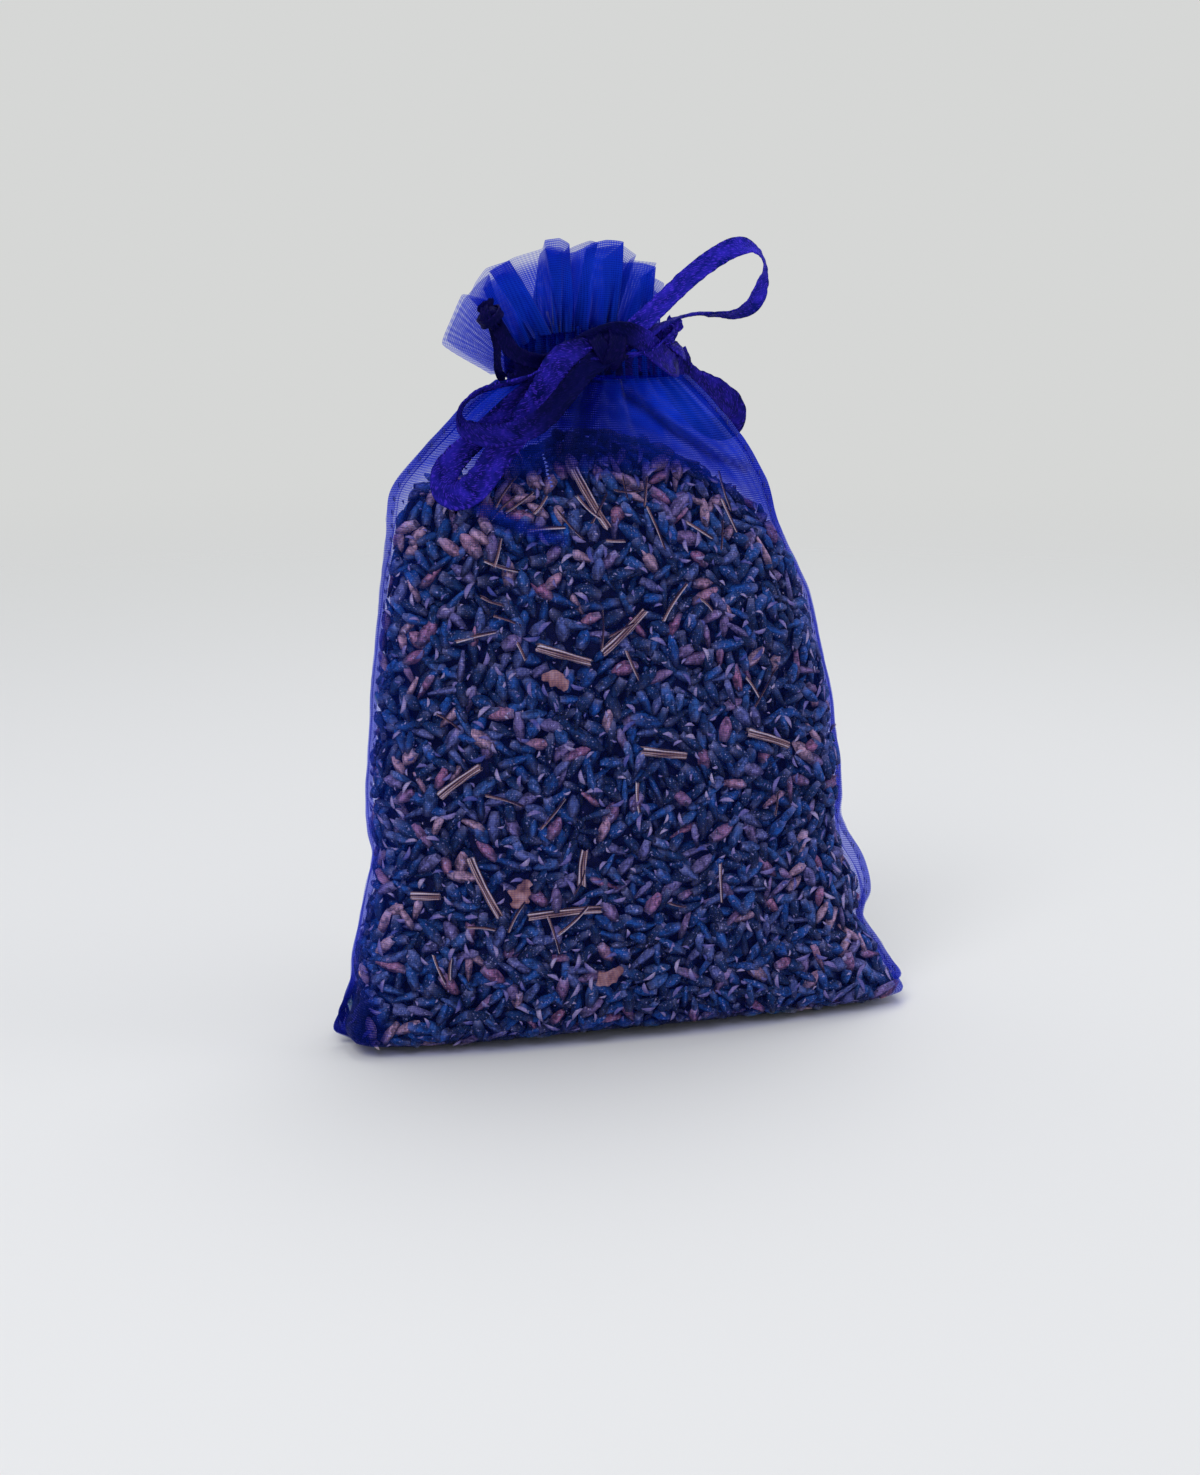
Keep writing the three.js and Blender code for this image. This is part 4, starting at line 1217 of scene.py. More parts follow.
def bud_material():
    """Dried buds, each with its own tone, ribbed and wrinkled, with painted shade in the wrinkles, speckled
    with pale hair, with a painted highlight towards the open end, painted light above and painted shade
    underneath.
    """
    material, tree, shader = new_material("Lavender Buds", 0.62, 0.3)
    tones = [
        (0.0, (0.003, 0.020, 0.056)),
        (0.2, (0.004, 0.040, 0.110)),
        (0.42, (0.008, 0.090, 0.290)),
        (0.58, (0.032, 0.110, 0.260)),
        (0.74, (0.130, 0.145, 0.290)),
        (0.86, (0.290, 0.170, 0.270)),
        (0.94, (0.440, 0.155, 0.215)),
        (1.0, (0.620, 0.360, 0.350)),
    ]
    body = ramp_node(tree, attribute_node(tree, "tone"), tones)
    wrinkle = noise_node(tree, object_vector(tree), 1100, 3, 0.8)
    # Painted shade down in the wrinkles and painted light on their ridges
    wrinkle_shade = ramp_node(tree, wrinkle, [(0.36, (0.3, 0.3, 0.32)), (0.62, (1.35, 1.35, 1.35))])
    colour = mix_colours(tree, 1, body, wrinkle_shade, "MULTIPLY")
    fuzz = noise_node(tree, object_vector(tree), 2700, 3, 0.4)
    specks = ramp_node(tree, fuzz, [(0.61, (0, 0, 0)), (0.70, (1, 1, 1))])
    # Pale specks of hair, and a painted highlight towards the bud's open end
    mouth = math_node(tree, "POWER", attribute_node(tree, "along"), 6.0)
    hairs_and_tip_highlight = math_node(tree, "MULTIPLY_ADD", specks, 0.75, math_node(tree, "MULTIPLY", mouth, 0.4))
    colour = mix_colours(tree, hairs_and_tip_highlight, colour, (0.62, 0.58, 0.80, 1))
    # Painted light and painted shade from the lit attribute
    lights = [(0.0, (0.05, 0.05, 0.06)), (0.45, (0.42, 0.42, 0.44)), (0.8, (1, 1, 1)), (1.0, (1.3, 1.3, 1.3))]
    colour = mix_colours(tree, 1, colour, ramp_node(tree, attribute_node(tree, "lit"), lights), "MULTIPLY")
    set_input(tree, shader, "Base Color", colour)
    bump_node(tree, wrinkle, 0.9, 0.0004, shader)
    return material


def dry_material(name, scale, stops):
    """A dry plant surface: colours through a noise."""
    material, tree, shader = new_material(name, 0.85, 0.25)
    grain = noise_node(tree, object_vector(tree), scale, 5, 0.4)
    set_input(tree, shader, "Base Color", ramp_node(tree, grain, stops))
    bump_node(tree, grain, 0.6, 0.0003, shader)
    return material


def shaded_core_material():
    return dry_material("Lavender Core In Painted Shade", 500, [(0.35, (0.004, 0.004, 0.016)), (0.7, (0.018, 0.020, 0.060))])


def crumb_material():
    stops = [(0.35, (0.10, 0.12, 0.34)), (0.5, (0.38, 0.30, 0.50)), (0.65, (0.75, 0.60, 0.66))]
    return dry_material("Petal Crumbs", 220, stops)


def leaf_material():
    stops = [(0.35, (0.14, 0.06, 0.05)), (0.52, (0.48, 0.22, 0.16)), (0.68, (0.78, 0.46, 0.36))]
    return dry_material("Leaf Scrap", 420, stops)


def stalk_material():
    """Woody stalk: pale split fibres, their palest stripes a painted highlight, and dark grooves along its
    length.
    """
    material, tree, shader = new_material("Woody Stalk", 0.8, 0.2)
    fibre = noise_node(tree, map_vector(tree, (2.4, 0.05, 1)), 1.0, 3, 0.1)
    stops = [
        (0.42, (0.03, 0.015, 0.02)),
        (0.47, (0.32, 0.15, 0.10)),
        (0.53, (0.86, 0.58, 0.44)),
        (0.61, (1.0, 0.88, 0.74)),
    ]
    set_input(tree, shader, "Base Color", ramp_node(tree, fibre, stops))
    bump_node(tree, fibre, 0.9, 0.0005, shader)
    return material


def thread_material(name="Seam Thread", share=1.0):
    """Sewing thread, with the light and dark of its twist."""
    material, tree, shader = new_material(name, 0.5, 0.4)
    twist = noise_node(tree, object_vector(tree, (1, 1, 3)), 3000, 2)
    stops = [(0.3, scaled((0.03, 0.05, 0.45), share)), (0.7, scaled((0.12, 0.17, 0.75), share))]
    set_input(tree, shader, "Base Color", ramp_node(tree, twist, stops))
    bump_node(tree, twist, 0.5, 0.0001, shader)
    return material


MATERIAL_MAKERS = {
    "organza": organza_material,
    # The folded seam's organza has pale added to its colour: painted sheen.
    "seam organza": lambda: organza_material("Folded Organza", 0.78, (0.085, 0.08, 0.0)),
    "satin": satin_material,
    # Darker and brighter copies of the satin: painted shade on the knots and the left tail, painted light on
    # the upper loop
    "dark satin": lambda: satin_material("Shaded Satin", 0.4, 0.12),
    "lit satin": lambda: satin_material("Lit Satin", 2.0, 1.1),
    "buds": bud_material,
    "core": shaded_core_material,
    "crumbs": crumb_material,
    "stalk": stalk_material,
    "leaf": leaf_material,
    "thread": thread_material,
    "seam thread": lambda: thread_material("Deep Thread", 0.35),
}
materials = {}


def material_of(name):
    """The material of that name, made the first time that it is asked for."""
    if name not in materials:
        materials[name] = MATERIAL_MAKERS[name]()
    return materials[name]


# Stage


def add_camera(scene):
    """The camera in front of the pouch, a little to its left and above it."""
    camera_data = bpy.data.cameras.new("camera")
    camera_data.sensor_fit = "HORIZONTAL"
    camera_data.sensor_width = SENSOR_WIDTH
    camera_data.lens = FOCAL_PIXELS / PHOTO_WIDTH_PIXELS * SENSOR_WIDTH
    camera_data.clip_start = 0.01
    camera_data.clip_end = 20
    camera = bpy.data.objects.new("camera", camera_data)
    scene.collection.objects.link(camera)
    azimuth, elevation = math.radians(CAMERA_AZIMUTH), math.radians(CAMERA_ELEVATION)
    level = math.cos(elevation)
    back = Vector((math.sin(azimuth) * level, -math.cos(azimuth) * level, math.sin(elevation)))
    camera.location = (Vector(CAMERA_TARGET) + CAMERA_DISTANCE * back) * MM
    camera.rotation_euler = back.to_track_quat("Z", "Y").to_euler()
    scene.camera = camera


def add_world(scene):
    """Soft light from all round, and a plain backdrop where the world itself is seen."""
    world = bpy.data.worlds.new("studio")
    scene.world = world
    world.use_nodes = True
    tree = world.node_tree
    tree.nodes.clear()
    add_node(tree, "ShaderNodeOutputWorld", name="Output")
    backgrounds = []
    for colour, strength in ((WORLD_LIGHT, WORLD_STRENGTH), (BACKDROP, 1)):
        background = add_node(tree, "ShaderNodeBackground")
        set_input(tree, background, "Color", (*colour, 1))
        set_input(tree, background, "Strength", strength)
        backgrounds.append(background.outputs[0])
    rays = add_node(tree, "ShaderNodeLightPath").outputs
    seen = math_node(tree, "MAXIMUM", rays["Is Camera Ray"], rays["Is Glossy Ray"])
    seen = math_node(tree, "MAXIMUM", seen, rays["Is Transmission Ray"])
    mix_shaders(tree, seen, *backgrounds)


def add_lamps(scene):
    for name, place, size, power in LAMPS:
        lamp_data = bpy.data.lights.new(name, "AREA")
        lamp_data.shape = "DISK"
        lamp_data.size = size
        lamp_data.energy = power
        lamp = bpy.data.objects.new(name, lamp_data)
        scene.collection.objects.link(lamp)
        lamp.location = place
        lamp.rotation_euler = (Vector(place) - Vector(LAMP_TARGET)).to_track_quat("Z", "Y").to_euler()


def add_floor(scene):
    """A pale round floor that fades out into the backdrop."""
    bm = bmesh.new()
    bmesh.ops.create_circle(bm, cap_ends=True, segments=64, radius=FLOOR_RADIUS)
    mesh = bpy.data.meshes.new("floor")
    bm.to_mesh(mesh)
    bm.free()
    material, tree, shader = new_material("Pale Floor", 0.9, 0.1)
    set_input(tree, shader, "Base Color", (*FLOOR_COLOUR, 1))
    length = add_node(tree, "ShaderNodeVectorMath", operation="LENGTH")
    set_input(tree, length, 0, object_vector(tree))
    fade = add_node(tree, "ShaderNodeMapRange", interpolation_type="SMOOTHSTEP")
    set_input(tree, fade, "From Min", FLOOR_FADE[0])
    set_input(tree, fade, "From Max", FLOOR_FADE[1])
    set_input(tree, fade, "Value", length.outputs["Value"])
    clear = add_node(tree, "ShaderNodeBsdfTransparent")
    mix_shaders(tree, fade.outputs[0], shader.outputs[0], clear.outputs[0])
    mesh.materials.append(material)
    floor = bpy.data.objects.new("floor", mesh)
    scene.collection.objects.link(floor)


def make_stage():
    scene = bpy.context.scene
    scene.view_settings.view_transform = "Standard"
    scene.cycles.transparent_max_bounces = 32
    add_camera(scene)
    add_world(scene)
    add_lamps(scene)
    add_floor(scene)


# Lavender


def heap_point(turn, rise, inset):
    """A point of the heap's surface at an inset: turn round it from the front, rise from 0 to 1."""
    bottom = inset - 0.5
    x = z = 0
    for _ in range(5):
        z = bottom + rise * (fill_top(x) - inset - bottom)
        outline = outline_at(z)
        x = outline.middle + (outline.half_width - 0.45 * inset) * math.sin(turn)
    falling = max(0, (rise - DOME_START_SHARE) / (1 - DOME_START_SHARE))
    dome = math.sqrt(max(1 - falling**2.4, 0))
    lens = max(outline.half_depth * abs(math.cos(turn)) ** fullness(z) - inset, 0)
    return Vector((x, -math.copysign(lens * dome, math.cos(turn)), z))


def heap_triangles(inset):
    """(triangles, weights) of the heap's surface at an inset: corners with a normal, and twice the area."""
    rows = []
    for j in range(HEAP_RISES + 1):
        turns = [2 * math.pi * i / HEAP_TURNS for i in range(HEAP_TURNS)]
        rows.append([heap_point(turn, j / HEAP_RISES, inset) for turn in turns])
    triangles, weights = [], []
    for low, high in zip(rows, rows[1:]):
        for i in range(HEAP_TURNS):
            following = (i + 1) % HEAP_TURNS
            a, b, c, d = low[i], low[following], high[following], high[i]
            for corners in ((a, b, c), (a, c, d)):
                cross = (corners[1] - corners[0]).cross(corners[2] - corners[0])
                if cross.length > 1e-9:
                    triangles.append((corners, cross.normalized()))
                    weights.append(cross.length)
    return triangles, weights


def scatter_on_heap(rng, inset, spacing, tries):
    """Places on the heap's surface at an inset, no two closer than spacing: (point, normal)."""
    cells, kept = {}, []
    for corners, normal in rng.choices(*heap_triangles(inset), k=tries):
        s, t = rng.random(), rng.random()
        if s + t > 1:
            s, t = 1 - s, 1 - t
        point = corners[0] + (corners[1] - corners[0]) * s + (corners[2] - corners[0]) * t
        cell = tuple(math.floor(c / spacing) for c in point)
        near = []
        for steps in itertools.product((-1, 0, 1), repeat=3):
            near += cells.get(tuple(c + step for c, step in zip(cell, steps)), ())
        if any((other - point).length < spacing for other in near):
            continue
        cells.setdefault(cell, []).append(point)
        kept.append((point, normal))
    return kept


def laid_matrix(rng, point, normal, length, width, tilt):
    """Matrix, in metres, that lays a shape along a random line in the surface at a point."""
    lengthwise = normal.orthogonal().normalized()
    lengthwise.rotate(Matrix.Rotation(rng.uniform(0, 2 * math.pi), 3, normal))
    lengthwise = (lengthwise + normal * rng.uniform(-tilt, tilt)).normalized()
    across = normal.cross(lengthwise).normalized()
    up = lengthwise.cross(across)
    thick = width * rng.uniform(0.6, 1.0)
    turned = Matrix((lengthwise * length, across * width, up * thick)).transposed().to_4x4()
    turned.translation = point
    return np.array(Matrix.Scale(MM, 4) @ turned)


def fits_inside(matrix):
    """Whether both ends of a laid shape are inside the belly's cloth and above the floor."""
    for end in (-0.5, 0.5):
        x, y, z = (matrix[:3, 0] * end + matrix[:3, 3]) / MM
        outline = outline_at(round(z, 1))
        share = abs(x - outline.middle) / (outline.half_width - 0.6)
        if share >= 1 or z < LOWEST_BUD_END or abs(y) > belly_depth(outline, share, z) + 0.1:
            return False
    return True


def in_hollow(point):
    """Whether a place is in one of the dark hollows that show at the front of the heap."""
    if point.y > 0:
        return False
    return any(((point.x - x) / w) ** 2 + ((point.z - z) / h) ** 2 < 1 for x, z, w, h in HOLLOWS)


def bud_tone(rng, point):
    """A bud's place in the range of tones: paler towards the top of the heap, and paler towards its sides as
    painted pale sheen of the cloth over them at a grazing angle.
    """
    pale = 0.7 * smoothstep(point.z, 76, 92) + 0.25 * smoothstep(abs(point.x + 4), 20, 38)
    return min(rng.random() ** 1.35 + pale * rng.random(), 1)


def template_of(bm, shares, ribs):
    """(points, faces, share along, rib) of a small shape, of which bm is freed."""
    bm.verts.index_update()
    points = np.array([vert.co for vert in bm.verts])
    faces = [[vert.index for vert in face.verts] for face in bm.faces]
    bm.free()
    return points, faces, np.array(shares), np.array(ribs)


def bud_template(crumpling, profile):
    """Template of one bud along X: a ribbed, wrinkled oval with an open mouth."""
    bm = bmesh.new()
    bmesh.ops.create_cone(bm, cap_ends=True, segments=BUD_SEGMENTS, radius1=0.5, radius2=0.5, depth=1)
    sides = [edge for edge in bm.edges if abs(edge.verts[0].co.z - edge.verts[1].co.z) > 0.5]
    bmesh.ops.subdivide_edges(bm, edges=sides, cuts=BUD_SPANS - 1)
    top = [face for face in bm.faces if all(vert.co.z > 0.49 for vert in face.verts)]
    bmesh.ops.inset_individual(bm, faces=top, thickness=0.16)
    caps = [face for face in bm.faces if len(face.verts) == BUD_SEGMENTS]
    mouth = next(face for face in caps if face.calc_center_median().z > 0.4)
    bmesh.ops.translate(bm, verts=mouth.verts[:], vec=(0, 0, -0.12))
    shares, ribs = [], []
    for vert in bm.verts:
        share = vert.co.z + 0.5
        rib = math.cos(BUD_SEGMENTS / 2 * math.atan2(vert.co.y, vert.co.x))
        shares.append(share)
        ribs.append(rib)
        crumple = noise.noise(Vector((3.1 * vert.co.x, 3.1 * vert.co.y, 2.4 * share + 9 * crumpling)))
        scale = table_at(profile, share, 1) * (1 + 0.09 * rib + crumpling * crumple)
        bend = 0.08 * (1 - (2 * share - 1) ** 2)
        vert.co = Vector((vert.co.z, vert.co.x * scale + bend, vert.co.y * scale))
    return template_of(bm, shares, ribs)


def crumb_template():
    """Template of one petal crumb: a flat flake with three lobes."""
    bm = bmesh.new()
    bmesh.ops.create_icosphere(bm, subdivisions=1, radius=0.5)
    for vert in bm.verts:
        vert.co.z *= 0.35
        vert.co += vert.co * (0.5 * math.sin(3 * math.atan2(vert.co.y, vert.co.x)))
    plain = [0.0] * len(bm.verts)
    return template_of(bm, plain, plain)


def mesh_of_copies(name, template, matrices, tones):
    """One mesh of a template's copies, one for each matrix, with tone, along and lit attributes."""
    points, faces, shares, ribs = template
    count = len(points)
    offsets = np.einsum("kij,nj->kni", matrices[:, :3, :3], points)
    copies = offsets + matrices[:, None, :3, 3]
    widths = np.linalg.norm(matrices[:, :3, 1], axis=1)
    upward = offsets[:, :, 2] / widths[:, None]
    # lit is painted light and shade: lighter on each copy's outer side, its upper side and its ribs, darker
    # on its inner and lower sides
    lit = np.clip(0.5 + 0.75 * points[None, :, 2] + 0.4 * upward + 0.12 * ribs[None, :], 0, 1)
    corners = np.concatenate([np.array(face) for face in faces])
    starts = np.cumsum([0] + [len(face) for face in faces])[:-1]
    numbers = np.arange(len(matrices))[:, None]
    mesh = bpy.data.meshes.new(name)
    mesh.vertices.add(count * len(matrices))
    mesh.vertices.foreach_set("co", copies.astype(np.float32).ravel())
    mesh.loops.add(len(corners) * len(matrices))
    mesh.loops.foreach_set("vertex_index", (corners[None] + count * numbers).astype(np.int32).ravel())
    mesh.polygons.add(len(faces) * len(matrices))
    mesh.polygons.foreach_set("loop_start", (starts[None] + len(corners) * numbers).astype(np.int32).ravel())
    mesh.update(calc_edges=True)
    mesh.polygons.foreach_set("use_smooth", [True] * len(mesh.polygons))
    values = {"tone": np.repeat(tones, count), "along": np.tile(shares, len(matrices)), "lit": lit.ravel()}
    for label, column in values.items():
        attribute = mesh.attributes.new(label, "FLOAT", "POINT")
        attribute.data.foreach_set("value", column.astype(np.float32))
    mesh.validate()
    return mesh


def seat_under_cloth(x_share, z_share, slope, depth):
    """Matrix, in metres, that lays a shape under the front cloth: X along its slope, Z out of the cloth."""
    x, z = x_share * CORNER_HALF_WIDTH, z_share * NECK_HEIGHT
    probe = 2 * STALK_RADIUS

    def slant(dx, dz):
        return (front_y(x + dx, z + dz) - front_y(x - dx, z - dz)) / (2 * probe)

    across = Vector((1, slant(probe, 0), 0))
    upward = Vector((0, slant(0, probe), 1))
    angle = math.radians(slope)
    lengthwise = (across * math.cos(angle) + upward * math.sin(angle)).normalized()
    inward = upward.cross(across).normalized()
    seat = Matrix((lengthwise, -inward.cross(lengthwise), -inward)).transposed().to_4x4()
    seat.translation = Vector((x, front_y(x, z), z)) + inward * depth
    return Matrix.Scale(MM, 4) @ seat


def stalk_lines():
    """Both ends of the middle line of each stalk and scrap under the front cloth."""
    lines = []
    for x_share, z_share, slope, length_share in STALK_SHARES:
        seat = seat_under_cloth(x_share, z_share, slope, STALK_RADIUS + 0.6)
        half = STALK_LENGTH * length_share / 2
        lines.append([seat @ Vector((side * half, 0, 0)) / MM for side in (-1, 1)])
    for x_share, z_share, slope, _ in SCRAP_SHARES:
        seat = seat_under_cloth(x_share, z_share, slope, 0.9)
        lines.append([seat @ Vector((side, 0, 0)) / MM for side in (-1, 1)])
    return lines


def near_line(point, lines, reach):
    """Whether a place is nearer than reach to one of the lines."""
    for a, b in lines:
        t = min(max((point - a).dot(b - a) / (b - a).length_squared, 0), 1)
        if (point - a - (b - a) * t).length < reach:
            return True
    return False


def make_core():
    """The dark middle of the heap, behind its buds: its darkness is painted shade of the heap's depths."""

    def place(across, along):
        point = heap_point(2 * math.pi * across, along, CORE_INSET)
        lump = noise.noise(point * 0.55) + 0.5 * noise.noise(point * 1.3)
        return (point + (point - Vector(CORE_MIDDLE)).normalized() * 0.5 * lump) * MM, 1.0

    bm = cloth_grid(120, 60, place, (200, 100), CORE_JOIN_GAP)
    close_ends(bm)
    core = finish_mesh(bm, "lavender_core", material_of("core"))
    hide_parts("lavender_fill")


def laid_bud(rng, point, normal, length, width):
    """Matrix of a bud that fits inside the cloth at a place, or None after six that don't."""
    for _ in range(6):
        size, plump = rng.uniform(0.68, 1.15), rng.uniform(0.75, 1.12)
        matrix = laid_matrix(rng, point, normal, length * size, width * plump, BUD_TILT)
        if fits_inside(matrix):
            return matrix
    return None


def make_buds(rng, lines):
    lavender = scene_sizes()[2]
    sizes = (lavender.bud_length, lavender.bud_width, lavender.spacing)
    length, width, spacing = (size / MM for size in sizes)
    kinds, weights = list(BUD_KINDS), [row[0] for row in BUD_KINDS.values()]
    groups = {}
    for layer, inset, gap, tries, brightness in BUD_LAYERS:
        for point, normal in scatter_on_heap(rng, inset, gap * spacing, tries):
            point = point - normal * rng.uniform(-0.2, 0.8)
            if layer == "outer" and (near_line(point, lines, BUD_TO_STALK) or in_hollow(point)):
                continue
            kind = rng.choices(kinds, weights)[0]
            _, longer, wider, _ = BUD_KINDS[kind]
            matrix = laid_bud(rng, point, normal, length * longer, width * wider)
            if matrix is None:
                continue
            side = "front" if point.y < 0 else "back"
            part = "low" if point.z < LOW_BUDS_TOP else "high"
            tone = bud_tone(rng, point) * brightness
            groups.setdefault((side, part, layer, kind), []).append((matrix, tone))
    templates = {}
    for kind, profile in BUD_PROFILE_SHARES.items():
        templates[kind] = bud_template(BUD_KINDS[kind][3], profile)
    for key, buds in groups.items():
        name = "lavender_buds_" + "_".join(key)
        matrices, tones = (np.array(column) for column in zip(*buds))
        mesh = mesh_of_copies(name, templates[key[3]], matrices, tones)
        finish_object(mesh, name, material_of("buds"))


def make_crumbs(rng, lines):
    """Petal crumbs between the buds."""
    spacing = scene_sizes()[2].spacing / MM
    crumbs = []
    for point, normal in scatter_on_heap(rng, CRUMB_INSET, spacing, CRUMB_TRIES):
        if point.z > LOWEST_CRUMB and not near_line(point, lines, CRUMB_TO_STALK) and not in_hollow(point):
            size = rng.random() ** 2
            crumbs.append(laid_matrix(rng, point, normal, 0.35 + 2.6 * size, 0.2 + 0.7 * size, CRUMB_TILT))
    tones = np.array([rng.random() for _ in crumbs])
    mesh = mesh_of_copies("petal_crumbs", crumb_template(), np.array(crumbs), tones)
    finish_object(mesh, "petal_crumbs", material_of("crumbs"))


def make_lavender():
    rng = random.Random(scene_sizes()[2].seed)
    make_core()
    lines = stalk_lines()
    make_buds(rng, lines)
    make_crumbs(rng, lines)


def stick_bmesh(length, radius, seed, bend):
    """A split woody stick along X, in millimetres: flat, ridged along its length, with torn ends."""

    def place(across, along):
        angle = 2 * math.pi * across
        x = length * (along - 0.5)
        ridge = 1 + 0.3 * noise.noise(Vector((3 * math.cos(angle), 3 * math.sin(angle), 0.4 * x + seed)))
        ridge += 0.10 * math.cos(5 * angle + seed)
        torn = 1.3 * noise.noise(Vector((2 * math.cos(angle), 2 * math.sin(angle), seed))) * (2 * along - 1)
        width = radius * (1 - 0.12 * along) * ridge
        y = width * math.copysign(abs(math.cos(angle)) ** 0.7, math.cos(angle))
        z = 0.55 * width * math.sin(angle)
        sag = bend * (1 - (2 * along - 1) ** 2)
        return Vector((x + torn, y + sag, z)), 1.0

    bm = cloth_grid(12, 22, place, (2 * math.pi * radius, length), STICK_JOIN_GAP)
    close_ends(bm)
    return bm


def scrap_bmesh(share, seed):
    """A dry leaf scrap, in millimetres: a curled flake with a ragged edge."""

    def place(across, along):
        reach = SCRAP_HALF_LENGTH * share
        x = reach * (2 * along - 1)
        edge = 0.72 + 0.75 * noise.noise(Vector((0.9 * x, 4 * round(across), 3.3 * seed)))
        half = SCRAP_HALF_WIDTH * share * math.sqrt(max(1 - (x / reach) ** 4, 0.02)) * edge
        curl = 0.25 * noise.noise(Vector((0.8 * x, 1.5 * across, seed + 9)))
        return Vector((x, half * (2 * across - 1), curl)), 1.0

    bm = cloth_grid(10, 14, place, (4, 5))
    thicken(bm, SCRAP_THICKNESS)
    return bm


def make_stalks():
    """The stalks and scraps that show under the front cloth, and thin twigs among the buds."""
    for count, (x_share, z_share, slope, length_share) in enumerate(STALK_SHARES, 1):
        bm = stick_bmesh(STALK_LENGTH * length_share, STALK_RADIUS * 1.05, count, 0.2 * math.sin(2.1 * count))
        seat = seat_under_cloth(x_share, z_share, slope, STALK_RADIUS + STALK_DEPTH)
        bmesh.ops.transform(bm, matrix=seat, verts=bm.verts)
        stalk = finish_mesh(bm, f"woody_stalk_{count}", material_of("stalk"))
        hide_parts(f"stalk_{count}")
    for count, (x_share, z_share, slope, length_share) in enumerate(SCRAP_SHARES, 1):
        bm = scrap_bmesh(length_share, count)
        seat = seat_under_cloth(x_share, z_share, slope, TWIG_DEPTH)
        bmesh.ops.transform(bm, matrix=seat, verts=bm.verts)
        leaf = finish_mesh(bm, f"dry_leaf_scrap_{count}", material_of("leaf"))
        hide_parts(f"leaf_scrap_{count}")
    rng = random.Random(TWIG_SEED)
    twigs = []
    for count in range(TWIG_COUNT):
        x_share, z_share = rng.uniform(-0.72, 0.5), rng.uniform(0.06, 0.8)
        if count >= TWIG_COUNT - TOP_TWIG_COUNT:
            x_share, z_share = rng.uniform(-0.5, 0.36), rng.uniform(0.76, 0.85)
        bm = stick_bmesh(rng.uniform(3, 7.5), rng.uniform(0.14, 0.3), 50 + count, rng.uniform(-0.25, 0.25))
        seat = seat_under_cloth(x_share, z_share, rng.uniform(-90, 90), TWIG_DEPTH)
        bmesh.ops.transform(bm, matrix=seat, verts=bm.verts)
        twigs.append(bm)
    finish_mesh(join_bmeshes(twigs), "thin_twigs", material_of("stalk"))


# Pouch


def make_panel(facing, side):
    """One side's panel of organza."""
    bm = cloth_grid(
        PANEL_COLUMNS,
        PANEL_ROWS,
        lambda across, along: panel_point(facing, across, along),
        PANEL_FLAT,
        shade=panel_shade,
    )
    if facing < 0:
        bmesh.ops.reverse_faces(bm, faces=bm.faces)
    panel = finish_mesh(bm, f"{side}_organza_panel", material_of("organza"))
    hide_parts(f"{side}_panel")
    return panel


def edge_at(side, height):
    outline = outline_at(height)
    return outline.left if side < 0 else outline.right


def make_side_seam(side, name):
    """A side's folded seam and its stitches, one object each."""

    def place(across, along):
        height = NECK_HEIGHT * (0.005 + 0.995 * along)
        turn = 2 * math.pi * across
        out = math.cos(turn)
        half = SEAM_WIDTH / 2 * (1 + 0.12 * noise.noise(Vector((0.35 * height, side, 2))))
        x = edge_at(side, height) - side * half + side * half * math.copysign(abs(out) ** 0.6, out)
        x += side * 0.25 * noise.noise(Vector((0.5 * height, 5 * side, 1)))
        y = margin_wave(side, height) + SEAM_HALF_THICKNESS * math.sin(turn) * (1 - 0.45 * out)
        layers = 0.55 - 0.2 * out + 0.9 * smoothstep(height, 92, 102)
        return Vector((x, y, height + corner_lift(x, height))) * MM, layers

    bm = cloth_grid(12, 150, place, (5, 110), JOIN_GAP, corner_shade)
    bmesh.ops.recalc_face_normals(bm, faces=bm.faces)
    seam = finish_mesh(bm, f"{name}_seam_fold", material_of("seam organza"))
    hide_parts(f"{name}_side_seam")
    bm = bmesh.new()
    height = STITCH_START
    while height < STITCH_END:
        x = edge_at(side, height) - side * STITCH_INSET
        wave = margin_wave(side, height)
        for facing in (-1, 1):
            add_bead(bm, STITCH_RADII, (x, wave + facing * STITCH_LIFT, height))
        height += STITCH_PITCH
    bmesh.ops.scale(bm, verts=bm.verts, vec=(MM, MM, MM))
    return [seam, finish_mesh(bm, f"{name}_seam_stitches", material_of("seam thread"))]


def make_bottom_seam():
    """The folded seam that the pouch stands on."""

    def place(across, along):
        turn = 2 * math.pi * across
        x = BOTTOM_SEAM_SHARE * CORNER_HALF_WIDTH * (2 * along - 1)
        y = BOTTOM_SEAM_HALF_DEPTH * math.cos(turn)
        z = BOTTOM_SEAM_Z + BOTTOM_SEAM_HALF_HEIGHT * math.sin(turn) + corner_lift(x)
        return Vector((x, y, z)) * MM, 0.9

    bm = cloth_grid(10, 90, place, (4, 100), JOIN_GAP, corner_shade)
    close_ends(bm)
    bottom = finish_mesh(bm, "bottom_seam_fold", material_of("organza"))
    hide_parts("bottom_seam")
    return bottom


